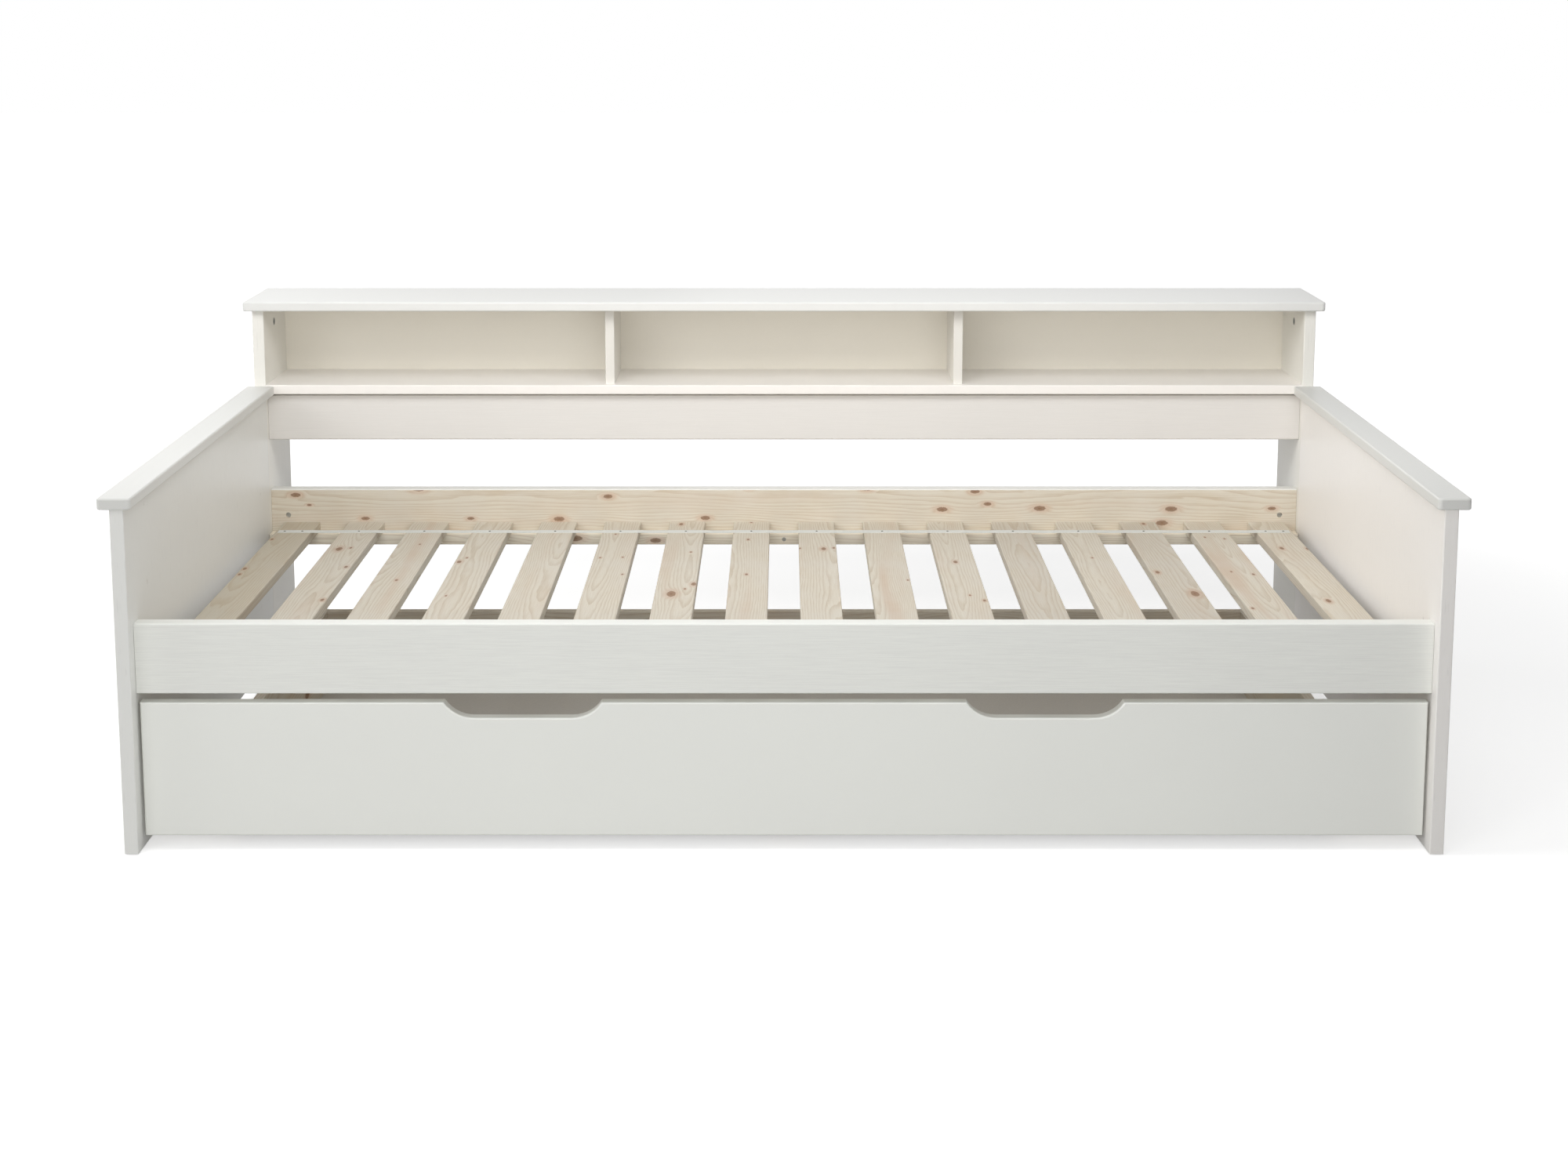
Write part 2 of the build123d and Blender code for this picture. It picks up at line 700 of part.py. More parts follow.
with BuildPart() as drawer_cam_locks:
    for disc, bolt in zip(drawer_cams, drawer_cam_bolts):
        cam_disc(disc, bolt)
write_piece(drawer_cam_locks, "drawer_cam_locks")

with BuildPart() as drawer_cam_lock_bolts:
    for start, direction, diameter, length in drawer_cam_bolts:
        rod(start, direction, diameter, length)
write_piece(drawer_cam_lock_bolts, "drawer_cam_lock_bolts")

# Countersunk screws at the back and under the stay, pan heads on the wheel brackets
with BuildPart() as drawer_screws:
    sunk_screws(box_screws + stay_screws)
    for start, direction, diameter, length in bracket_screws:
        rod(start, direction, diameter, length)
        outward = tuple(-part for part in direction)
        rod(start, outward, head_ratio * diameter, pan_head_height)
write_piece(drawer_screws, "drawer_screws")

# Wheel brackets: a back plate on the drawer's side, a roof over the wheel and a plate outside it
for name, side, wheel_y in wheel_places:
    bracket_y = (wheel_y - bracket_length / 2, wheel_y + bracket_length / 2)
    back_plate_z = (bracket_drop, bracket_roof + bracket_plate + bracket_back_height)
    cheek_z = (bracket_drop, bracket_roof + bracket_plate)
    roof_z = (bracket_roof, bracket_roof + bracket_plate)
    with BuildPart() as wheel_bracket:
        block(hand_span(side, box_outer, box_outer + bracket_plate), bracket_y, back_plate_z)
        block(hand_span(side, bracket_far - bracket_plate, bracket_far), bracket_y, cheek_z)
        block(hand_span(side, box_outer, bracket_far), bracket_y, roof_z)
        drill([axle for axle in axles if axle[0][:2] == (side * box_outer, wheel_y)])
        add(drawer_bores.part, mode=Mode.SUBTRACT)
    write_piece(wheel_bracket, f"wheel_bracket_{name}")

with BuildPart() as wheel_axles:
    for start, direction, diameter, length in axles:
        rod(start, direction, diameter, length)
        head_start = (direction[0] * bracket_far, start[1], start[2])
        rod(head_start, direction, axle_head_diameter, axle_head_height)
write_piece(wheel_axles, "wheel_axles")

# Wheels: rim, thin web and hub turned round the axle's line
for name, side, wheel_y in wheel_places:
    with BuildPart() as wheel:
        near_face = (side * wheel_near, wheel_y, wheel_radius)
        rod(near_face, (side, 0, 0), wheel_diameter, wheel_width)
        fillet(wheel.edges().filter_by(GeomType.CIRCLE), wheel_round)
        for start_x, inward in ((wheel_near, side), (wheel_far, -side)):
            face = Plane(origin=(side * start_x, wheel_y, wheel_radius), z_dir=(inward, 0, 0))
            with BuildSketch(face) as recess:
                Circle(wheel_radius - rim_thickness)
                Circle(hub_diameter / 2, mode=Mode.SUBTRACT)
            extrude(recess.sketch, amount=(wheel_width - web_thickness) / 2, mode=Mode.SUBTRACT)
        rod(near_face, (side, 0, 0), axle_diameter + 2 * axle_play, wheel_width, Mode.SUBTRACT)
    write_piece(wheel, f"drawer_wheel_{name}")
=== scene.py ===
import math

import bpy
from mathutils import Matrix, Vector


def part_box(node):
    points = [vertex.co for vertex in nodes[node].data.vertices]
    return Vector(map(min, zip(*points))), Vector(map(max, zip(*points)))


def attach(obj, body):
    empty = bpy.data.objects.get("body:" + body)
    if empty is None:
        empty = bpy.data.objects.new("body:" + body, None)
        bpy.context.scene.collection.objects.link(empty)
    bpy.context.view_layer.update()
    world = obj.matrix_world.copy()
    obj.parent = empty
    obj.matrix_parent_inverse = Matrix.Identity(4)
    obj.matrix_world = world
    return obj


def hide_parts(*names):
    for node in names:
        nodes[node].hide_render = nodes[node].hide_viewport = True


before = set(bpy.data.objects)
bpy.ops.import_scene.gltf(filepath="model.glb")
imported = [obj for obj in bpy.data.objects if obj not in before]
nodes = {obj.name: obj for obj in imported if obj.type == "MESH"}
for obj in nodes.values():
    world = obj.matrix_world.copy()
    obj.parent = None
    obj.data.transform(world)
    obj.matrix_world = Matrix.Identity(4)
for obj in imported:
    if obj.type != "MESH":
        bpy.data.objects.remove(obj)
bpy.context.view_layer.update()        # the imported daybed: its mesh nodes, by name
mm = 0.001


# Finishes

def linear(hexColour):   # an sRGB hex colour as the linear values that a socket takes
    parts = [int(hexColour[i:i + 2], 16) / 255 for i in (1, 3, 5)]
    return [p / 12.92 if p <= 0.04045 else ((p + 0.055) / 1.055) ** 2.4 for p in parts] + [1]


def addNode(tree, kind, inputs=None, stops=None, **settings):   # returns the node's first output
    node = tree.nodes.new("ShaderNode" + kind)
    for name, value in settings.items():
        setattr(node, name, value)
    for key, value in (inputs or {}).items():
        socket = node.inputs[key]
        if isinstance(key, str):
            socket = next(s for s in node.inputs if s.enabled and s.name == key)
        if isinstance(value, bpy.types.NodeSocket):
            tree.links.new(value, socket)
        else:
            socket.default_value = value
    if stops:
        for place, level in stops[1:-1]:
            node.color_ramp.elements.new(place)
        for element, (place, level) in zip(node.color_ramp.elements, stops):
            element.position = place
            element.color = (level, level, level, 1)
    return next((s for s in node.outputs if s.enabled), node)


def startMaterial(name):
    material = bpy.data.materials.new(name)
    material.use_nodes = True
    tree = material.node_tree
    shader = next(n for n in tree.nodes if n.type == "BSDF_PRINCIPLED")
    return material, tree, shader


def dress(nodeNames, material):
    for name in nodeNames:
        slots = nodes[name].material_slots
        for slot in slots:
            slot.material = material
        if not slots:
            nodes[name].data.materials.append(material)


# How a board lies: degrees that turn its length, width and thickness from X, Y and Z
boardTurns = {
    "slat": (0, 0, 90),
    "rail": (90, 0, 0),
    "upright": (0, -90, 0),
    "side": (90, 0, 90),
    "shelf": (0, 0, 0),
}


def boardCoordinates(tree, nodeName, lies):   # millimetres along, across and through one board
    low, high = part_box(nodeName)
    turn = [math.radians(angle) for angle in boardTurns[lies]]
    place = addNode(tree, "TexCoord").node.outputs["Object"]
    settings = {"Vector": place, "Location": (low + high) / 2, "Rotation": turn, "Scale": (mm, mm, mm)}
    return addNode(tree, "Mapping", settings, vector_type="TEXTURE")


pineLook = {
    "ringSpacing": 3.6,      # mm between year rings
    "ringTones": [(0, 0.1), (0.45, 0.22), (0.82, 0.85), (0.92, 1), (1, 0.1)],   # from early to late wood
    "ringDrift": 16,         # mm that the rings wander along a board
    "driftLength": 380,      # mm
    "driftWidth": 70,
    "ringWaver": 0.45,       # shares of a ring
    "waverLength": 75,       # mm
    "waverWidth": 11,
    "fibreWidth": 0.9,       # mm; real fibres are finer, drawn coarse enough to show
    "fibreLength": 55,
    "knotStretch": 2.3,      # a knot's length over its width, as it is cut at a slant
    "knotTones": [(0, 1), (0.5, 0.8), (0.8, 0.85), (1, 0)],    # from its core to its rim
    "knotRagged": 0.5,       # share of its radius
    "raggedSize": 2,         # mm
    "knotPull": 2.2,         # rings that bend round a knot
    "pullFall": 0.55,
    "haloReach": (2.6, 0.9),     # in knot radii, from plain wood to the darkest
}


def pineGrain(tree, local, grain):   # year rings, fibres and knots as values from 0 to 1
    length, width = pineLook["driftLength"], pineLook["driftWidth"]
    stretched = addNode(tree, "VectorMath", {0: local, 1: (1 / length, 1 / width, 1 / width)},
                        operation="MULTIPLY")
    drift = addNode(tree, "TexNoise", {"Vector": stretched, "W": grain["seed"], "Scale": 1, "Detail": 1},
                    noise_dimensions="4D").node.outputs["Color"]
    drift = addNode(tree, "VectorMath", {0: drift, 1: (0.5, 0.5, 0.5)}, operation="SUBTRACT")
    drift = addNode(tree, "VectorMath", {0: drift, "Scale": 2 * pineLook["ringDrift"]}, operation="SCALE")
    fromPith = addNode(tree, "Mapping", {
        "Vector": local,
        "Location": (0, -grain["pith"][0], -grain["pith"][1]),
        "Rotation": (0, math.radians(grain["tilt"]), 0),
    })
    fromPith = addNode(tree, "VectorMath", {0: fromPith, 1: drift}, operation="ADD")
    fromPith = addNode(tree, "VectorMath", {0: fromPith, 1: (0, 1, 1)}, operation="MULTIPLY")
    radius = addNode(tree, "VectorMath", {0: fromPith}, operation="LENGTH").node.outputs["Value"]
    phase = addNode(tree, "Math", {0: radius, 1: pineLook["ringSpacing"]}, operation="DIVIDE")
    length, width = pineLook["waverLength"], pineLook["waverWidth"]
    stretched = addNode(tree, "VectorMath", {0: local, 1: (1 / length, 1 / width, 1 / width)},
                        operation="MULTIPLY")
    waver = addNode(tree, "TexNoise", {"Vector": stretched, "W": grain["seed"], "Scale": 1, "Detail": 2},
                    noise_dimensions="4D")
    phase = addNode(tree, "Math", {0: waver, 1: 2 * pineLook["ringWaver"], 2: phase},
                    operation="MULTIPLY_ADD")

    nearest = None       # distance to the nearest knot, 1 at its rim
    for along, across, size in grain["knots"]:
        size *= grain.get("knotScale", 1)
        gap = addNode(tree, "VectorMath", {0: local, 1: (along, across, 0)}, operation="SUBTRACT")
        inRadii = (1 / pineLook["knotStretch"] / size, 1 / size, 0)
        gap = addNode(tree, "VectorMath", {0: gap, 1: inRadii}, operation="MULTIPLY")
        gap = addNode(tree, "VectorMath", {0: gap}, operation="LENGTH").node.outputs["Value"]
        if nearest is not None:
            gap = addNode(tree, "Math", {0: nearest, 1: gap}, operation="MINIMUM")
        nearest = gap
    knot = halo = None
    if nearest is not None:
        ragged = addNode(tree, "TexNoise", {"Vector": local, "Scale": 1 / pineLook["raggedSize"],
                                            "Detail": 2})
        ragged = addNode(tree, "Math", {0: ragged, 1: 0.5}, operation="SUBTRACT")
        nearest = addNode(tree, "Math", {0: ragged, 1: pineLook["knotRagged"], 2: nearest},
                          operation="MULTIPLY_ADD")
        pull = addNode(tree, "Math", {0: nearest, 1: nearest}, operation="MULTIPLY")
        pull = addNode(tree, "Math", {0: pull, 1: -pineLook["pullFall"]}, operation="MULTIPLY")
        pull = addNode(tree, "Math", {0: pull}, operation="EXPONENT")
        phase = addNode(tree, "Math", {0: pull, 1: pineLook["knotPull"], 2: phase},
                        operation="MULTIPLY_ADD")
        knot = addNode(tree, "ValToRGB", {"Fac": nearest}, stops=pineLook["knotTones"])
        plain, dark = pineLook["haloReach"]
        halo = addNode(tree, "MapRange", {"Value": nearest, "From Min": plain, "From Max": dark},
                       interpolation_type="SMOOTHSTEP")

    ring = addNode(tree, "Math", {0: phase}, operation="FRACT")
    ring = addNode(tree, "ValToRGB", {"Fac": ring}, stops=pineLook["ringTones"])
    width = 1 / pineLook["fibreWidth"]
    stretched = addNode(tree, "VectorMath", {0: local, 1: (1 / pineLook["fibreLength"], width, width)},
                        operation="MULTIPLY")
    fibre = addNode(tree, "TexNoise", {"Vector": stretched, "Scale": 1, "Detail": 3, "Roughness": 0.6})
    return ring, fibre, knot, halo


# Planed pine under a thin white stain: pale and dull, a little yellow in the late wood, with brown knots
stainedPineLook = {
    "earlyWood": "#D9D0BD",
    "lateWood": "#AE946C",
    "heart": "#C4A687",
    "knot": "#774E2A",
    "knotShow": 0.85,
    "haloShow": 0.6,
    "halo": "#BA8455",
    "stain": "#D7D3CB",
    "stainCover": 0.42,
    "coverSpread": 0.1,
    "cloudScale": 0.012,     # per mm, the stain's thick and thin places
    "ringShow": 0.68,
    "fleckShow": 1.4,
    "heartShow": 0.3,        # the redder wood near the pith
    "heartLength": 500,      # mm
    "heartWidth": 32,
    "heartEdge": (0.5, 0.72),
    "grainDepth": 0.12,      # mm
    "lateWoodSink": 0.4,     # share of the fibres' height
    "roughness": 0.62,
    "roughSpread": 0.08,
    "specular": 0.3,
}


def stainPine(tree, local, grain):   # colour, roughness and bump of stained pine
    look = {**stainedPineLook, **grain.get("look", {})}
    ring, fibre, knot, halo = pineGrain(tree, local, grain)
    shade = addNode(tree, "Math", {0: ring, 1: look["ringShow"]}, operation="MULTIPLY")
    fleck = addNode(tree, "Math", {0: fibre, 1: 0.5}, operation="SUBTRACT")
    shade = addNode(tree, "Math", {0: fleck, 1: look["fleckShow"], 2: shade},
                    operation="MULTIPLY_ADD", use_clamp=True)
    wood = addNode(tree, "Mix", {"Factor": shade, "A": linear(look["earlyWood"]),
                                 "B": linear(look["lateWood"])}, data_type="RGBA")
    length, width = look["heartLength"], look["heartWidth"]
    stretched = addNode(tree, "VectorMath", {0: local, 1: (1 / length, 1 / width, 1 / width)},
                        operation="MULTIPLY")
    heart = addNode(tree, "TexNoise", {"Vector": stretched, "W": grain["seed"] + 5, "Scale": 1,
                                       "Detail": 1}, noise_dimensions="4D")
    pale, red = look["heartEdge"]
    heart = addNode(tree, "MapRange", {"Value": heart, "From Min": pale, "From Max": red,
                                       "To Max": grain.get("heart", look["heartShow"])},
                    interpolation_type="SMOOTHSTEP")
    wood = addNode(tree, "Mix", {"Factor": heart, "A": wood, "B": linear(look["heart"])}, data_type="RGBA")
    if knot is not None:
        part = addNode(tree, "Math", {0: halo, 1: look["haloShow"]}, operation="MULTIPLY")
        wood = addNode(tree, "Mix", {"Factor": part, "A": wood, "B": linear(look["halo"])},
                       data_type="RGBA")
    cloud = addNode(tree, "TexNoise", {"Vector": local, "Scale": look["cloudScale"], "Detail": 3})
    cover = addNode(tree, "MapRange", {"Value": cloud, "From Min": 0.3, "From Max": 0.7,
                                       "To Min": look["stainCover"] - look["coverSpread"],
                                       "To Max": look["stainCover"] + look["coverSpread"]})
    colour = addNode(tree, "Mix", {"Factor": cover, "A": wood, "B": linear(look["stain"])},
                     data_type="RGBA")
    if knot is not None:     # the hard knots take up less stain
        part = addNode(tree, "Math", {0: knot, 1: look["knotShow"]}, operation="MULTIPLY")
        colour = addNode(tree, "Mix", {"Factor": part, "A": colour, "B": linear(look["knot"])},
                         data_type="RGBA")
    height = addNode(tree, "Math", {0: ring, 1: -look["lateWoodSink"], 2: fibre}, operation="MULTIPLY_ADD")
    rough = addNode(tree, "MapRange", {"Value": fibre, "To Min": look["roughness"] - look["roughSpread"],
                                       "To Max": look["roughness"] + look["roughSpread"]})
    bump = addNode(tree, "Bump", {"Height": height, "Strength": 0.5, "Distance": look["grainDepth"] * mm})
    return colour, rough, bump


# Satin white lacquer sprayed on pine: soft sheen, nearly smooth, the wood's fibres just show through it
paintLook = {
    "paint": "#F4F5EF",
    "shade": "#EAEAE6",
    "roughness": 0.42,
    "specular": 0.5,
    "cloudShow": 0.12,       # share of the shade in the film's slow changes
    "cloudScale": 0.004,     # per mm
    "grainShow": 0.35,       # share of the shade in the grain
    "grainDepth": 0.10,      # mm
    "peelSize": 3.5,         # mm, the film's own ripple
    "peelDepth": 0.012,
    "rim": "#BDB9AE",        # round a knot that shows through
    "rimTone": 0.82,         # where the knot's own tone passes to its rim
    "rimShow": 0.8,
    "dashShow": 0,           # share of the shade in open pores, short dark strokes along the grain
    "dashLength": 34,        # mm
    "dashWidth": 1.6,
    "dashEdge": (0.72, 0.82),
}


def paintBoard(tree, local, grain):
    look = {**paintLook, **grain.get("look", {})}
    ring, fibre, knot, _ = pineGrain(tree, local, grain)
    relief = addNode(tree, "Math", {0: ring, 1: -0.7, 2: fibre}, operation="MULTIPLY_ADD")
    cloud = addNode(tree, "TexNoise", {"Vector": local, "Scale": look["cloudScale"], "Detail": 1})
    cloud = addNode(tree, "MapRange", {"Value": cloud, "From Min": 0.3, "From Max": 0.7,
                                       "To Max": look["cloudShow"]})
    grainTone = addNode(tree, "MapRange", {"Value": fibre, "From Min": 0.4, "From Max": 0.75,
                                           "To Max": look["grainShow"]})
    tone = addNode(tree, "Math", {0: cloud, 1: grainTone}, operation="ADD")
    if look["dashShow"]:
        length, width = look["dashLength"], look["dashWidth"]
        stretched = addNode(tree, "VectorMath", {0: local, 1: (1 / length, 1 / width, 1 / width)},
                            operation="MULTIPLY")
        dash = addNode(tree, "TexNoise", {"Vector": stretched, "Scale": 1, "Detail": 0})
        closed, opened = look["dashEdge"]
        dash = addNode(tree, "MapRange", {"Value": dash, "From Min": closed, "From Max": opened,
                                          "To Max": look["dashShow"]})
        tone = addNode(tree, "Math", {0: tone, 1: dash}, operation="ADD")
    colour = addNode(tree, "Mix", {"Factor": tone, "A": linear(look["paint"]),
                                   "B": linear(look["shade"])}, data_type="RGBA")
    peel = addNode(tree, "TexNoise", {"Vector": local, "Scale": 1 / look["peelSize"], "Detail": 2})
    if knot is not None:     # a knot under the paint shows by its rim
        rim = addNode(tree, "MapRange", {"Value": knot, "From Min": look["rimTone"],
                                         "To Max": look["rimShow"]})
        relief = addNode(tree, "Math", {0: relief, 1: rim}, operation="SUBTRACT")
        colour = addNode(tree, "Mix", {"Factor": rim, "A": colour, "B": linear(look["rim"])},
                         data_type="RGBA")
    bump = addNode(tree, "Bump", {"Height": peel, "Strength": 1, "Distance": look["peelDepth"] * mm})
    bump = addNode(tree, "Bump", {"Height": relief, "Strength": 0.6, "Distance": look["grainDepth"] * mm,
                                  "Normal": bump})
    rough = addNode(tree, "MapRange", {"Value": fibre, "To Min": look["roughness"] - 0.05,
                                       "To Max": look["roughness"] + 0.07})
    return colour, rough, bump


def finishShader(tree, shader, colour, rough, bump, specular=paintLook["specular"]):
    tree.links.new(colour, shader.inputs["Base Color"])
    tree.links.new(rough, shader.inputs["Roughness"])
    tree.links.new(bump, shader.inputs["Normal"])
    shader.inputs["Specular IOR Level"].default_value = specular


plainGrain = {"pith": (0, -60), "tilt": 0.6, "knots": []}    # pith in mm from the middle, tilt in degrees


def paintedBoard(name, nodeName, lies, **grain):
    material, tree, shader = startMaterial(name)
    local = boardCoordinates(tree, nodeName, lies)
    grain = {**plainGrain, **grain}
    finishShader(tree, shader, *paintBoard(tree, local, grain))
    return material


def stainedBoard(name, nodeName, lies, **grain):
    material, tree, shader = startMaterial(name)
    local = boardCoordinates(tree, nodeName, lies)
    grain = {**plainGrain, **grain}
    finishShader(tree, shader, *stainPine(tree, local, grain),
                 specular=stainedPineLook["specular"])
    return material


railFaces = {            # mm from the rail's middle
    "paintEdge": (54.6, 54.0),   # up its face, where the paint ends and the bare wood starts
    "inner": (9, 10),        # through it, from the painted part to the bare face
    "edgeWaver": 1.5,
    "waverScale": 0.05,      # per mm
    "specular": 0.4,
}


def paintedRail(name, nodeName, bareSide, **grain):   # painted all round, but bare on its inner face
    material, tree, shader = startMaterial(name)
    local = boardCoordinates(tree, nodeName, "rail")
    grain = {**plainGrain, **grain}
    painted = paintBoard(tree, local, {**grain, "knots": [], "look": grain["paint"]})
    stained = stainPine(tree, local, grain)
    place = addNode(tree, "SeparateXYZ", {0: local}).node
    ragged = addNode(tree, "TexNoise", {"Vector": local, "Scale": railFaces["waverScale"], "Detail": 3})
    height = addNode(tree, "Math", {0: ragged, 1: railFaces["edgeWaver"], 2: place.outputs["Y"]},
                     operation="MULTIPLY_ADD")
    paint, wood = railFaces["paintEdge"]
    below = addNode(tree, "MapRange", {"Value": height, "From Min": paint, "From Max": wood})
    paint, wood = railFaces["inner"]
    inner = addNode(tree, "MapRange", {"Value": place.outputs["Z"], "From Min": paint * bareSide,
                                       "From Max": wood * bareSide})
    bare = addNode(tree, "Math", {0: below, 1: inner}, operation="MULTIPLY")
    colour = addNode(tree, "Mix", {"Factor": bare, "A": painted[0], "B": stained[0]}, data_type="RGBA")
    rough = addNode(tree, "Mix", {"Factor": bare, "A": painted[1], "B": stained[1]}, data_type="FLOAT")
    bump = addNode(tree, "Mix", {"Factor": bare, "A": painted[2], "B": stained[2]}, data_type="VECTOR")
    finishShader(tree, shader, colour, rough, bump, specular=railFaces["specular"])
    return material


# Boards of the frame, the bookcase and the drawer's front, white all over. They share one white paint, but
# several boards get their own lighter or darker copy as painted light and shade, set by how much light
# falls where they stand
smoothPaint = {"grainShow": 0.05, "grainDepth": 0.015}
# The top board and the end caps are darker copies of the white: painted shade that tones down their lit
# upper faces
topShadedPaint = {**smoothPaint, "paint": "#E5E5E2", "shade": "#E0E0DC"}
capShadedPaint = {**smoothPaint, "paint": "#DBDBD7", "shade": "#D5D5D1"}
# The shelf board is a lighter, warmer copy of the white: painted light and painted warm bounce light inside
# the shelf. The dividers are a darker, warmer copy: painted shade and painted warm bounce light
shelfLitWarmPaint = {**smoothPaint, "paint": "#FAF6F1", "shade": "#F2EEE7"}
dividerShadedWarmPaint = {**smoothPaint, "paint": "#E7E4DD", "shade": "#E1DED7"}
creamPaint = {**smoothPaint, "paint": "#F3EEE2", "shade": "#ECE6D9"}
panelPaint = {"grainShow": 0.1, "grainDepth": 0.05, "dashShow": 1.4}
# The left end panel is a darker copy of the white and the right one a lighter copy: painted shade on the
# left panel's inner face, which turns away from the lamps, and painted light on the right panel's inner
# face, which faces them
leftPanelShadedPaint = {**panelPaint, "paint": "#EAEAE6", "shade": "#E2E2DE"}
rightPanelLitPaint = {**panelPaint, "paint": "#F5F2EE", "shade": "#EDEAE6"}
# The rear side boards' white is lifted as painted light on their shaded inner faces
sideLitPaint = {**panelPaint, "paint": "#EFEDE6", "shade": "#E7E5DE"}
# The upper rail's warm tint is painted warm bounce light from the slats
upperRailBounceLitPaint = {"paint": "#E8E5E1", "shade": "#DDDAD6"}
panelKnots = {           # mm along and across, and size
    "end_panel_left": [(97, 397, 4), (255, -361, 3), (131, -361, 5)],
    "end_panel_right": [(76, -383, 5)],
    "rear_side_right": [(-31, -33, 4)],
}
paintedBoards = {
    "end_panel_left": ("upright", 11, leftPanelShadedPaint),
    "end_panel_right": ("upright", 12, rightPanelLitPaint),
    "rear_side_left": ("upright", 13, sideLitPaint),
    "rear_side_right": ("upright", 14, sideLitPaint),
    "end_cap_left": ("slat", 15, capShadedPaint),
    "end_cap_right": ("slat", 16, capShadedPaint),
    "bookcase_top": ("shelf", 17, topShadedPaint),
    "shelf_board": ("shelf", 18, shelfLitWarmPaint),
    "shelf_divider_left": ("upright", 19, dividerShadedWarmPaint),
    "shelf_divider_right": ("upright", 20, dividerShadedWarmPaint),
    "shelf_back_panel": ("rail", 21, creamPaint),
    "drawer_front": ("rail", 22, smoothPaint),
    "rear_upper_rail": ("rail", 23, upperRailBounceLitPaint),
}
for nodeName, (lies, seed, look) in paintedBoards.items():
    material = paintedBoard(f"white lacquer {nodeName}", nodeName, lies, seed=seed, look=look,
                            knots=panelKnots.get(nodeName, []))
    dress([nodeName], material)
print("painted boards finished")

# Slats: knots in mm towards the rear, towards the left end and across the knot
# Slat 1 gets a greyer, darker copy of the stain: painted shadow that the left end panel casts on it
slatPanelShadowTone = {"stain": "#C4BFB4", "earlyWood": "#C9BFAA"}
duskyStain = {"stain": "#CDC9C2", "earlyWood": "#D0C7B5"}
slatBoards = {
    1: {"pith": (18, -30), "knots": [(313, 28, 4), (98, 28, 5), (59, 28, 4)], "look": slatPanelShadowTone},
    2: {"pith": (-10, -22), "knots": [(240, 12, 9), (248, -8, 4), (110, -26, 5), (-108, -28, 5)]},
    3: {"pith": (30, -14), "knots": [(275, -7, 3), (20, -7, 4)], "heart": 0.6},
    4: {"pith": (4, -40), "knots": [(175, 16, 3), (146, 26, 6), (-82, 16, 3)]},
    5: {"pith": (-24, -20), "knots": []},
    6: {"pith": (12, -16), "knots": [(353, 8, 3), (176, 23, 3), (179, -18, 3), (59, -26, 3)]},
    7: {"pith": (-14, -12), "knots": [(433, 12, 6), (217, -16, 3), (-6, -30, 7), (-38, -16, 3),
                                      (-70, 6, 12)], "heart": 0.5},
    8: {"pith": (34, -18), "knots": [(450, 1, 4), (311, 5, 4), (59, 4, 4)], "heart": 0.5},
    9: {"pith": (-30, -26), "knots": [(241, -11, 7), (248, -30, 4), (245, 33, 3)]},
    10: {"pith": (36, -10), "knots": [(20, -30, 3)], "heart": 0.9},
    11: {"pith": (10, -14), "knots": [(145, 2, 6), (-79, -6, 3), (-112, -28, 4)]},
    12: {"pith": (-8, -34), "knots": [], "look": duskyStain},
    13: {"pith": (6, -9), "knots": [(175, 0, 3)]},
    14: {"pith": (-26, -24), "knots": [(436, -10, 5), (73, 23, 6), (-69, -18, 11)], "look": duskyStain},
    15: {"pith": (-6, -11), "knots": [(329, 16, 3), (317, -19, 3), (77, 16, 3), (59, -20, 4),
                                      (-160, 27, 4)], "heart": 0.8},
    16: {"pith": (22, -30), "knots": [(245, 14, 6), (241, -34, 6), (-114, 14, 7)]},
}
for number, grain in slatBoards.items():
    nodeName = f"slat_{number:02}"
    tilt = 0.5 + 0.35 * (number % 4)     # degrees, so that neighbours differ
    material = stainedBoard(f"stained pine slat {number}", nodeName, "slat", seed=number, tilt=tilt,
                            knotScale=0.7, **grain)
    dress([nodeName], material)

# Rails that are bare inside, battens and the drawer's box. Knots: mm along, up or across, and size.
rearRailKnots = [
    (-954, 44, 8), (-928, 24, 4), (-714, 57, 11), (-819, -3, 7), (-613, -3, 6), (-440, -4, 9),
    (-344, 41, 8), (-154, -2, 8), (-69, 57, 6), (-400, -42, 9), (-251, -49, 6), (162, 57, 9),
    (373, 51, 8), (309, 15, 9), (398, 26, 7), (500, 17, 10), (757, 16, 10), (740, -12, 10), (954, 17, 7),
]
# A lighter copy of the stained pine for the rear rail: painted light on its face in the shade below the
# slats
railLitStain = {"earlyWood": "#DFD5C1", "lateWood": "#B89C72", "heart": "#CFAF8F",
             "halo": "#C48C5A", "stain": "#E3DFD6"}
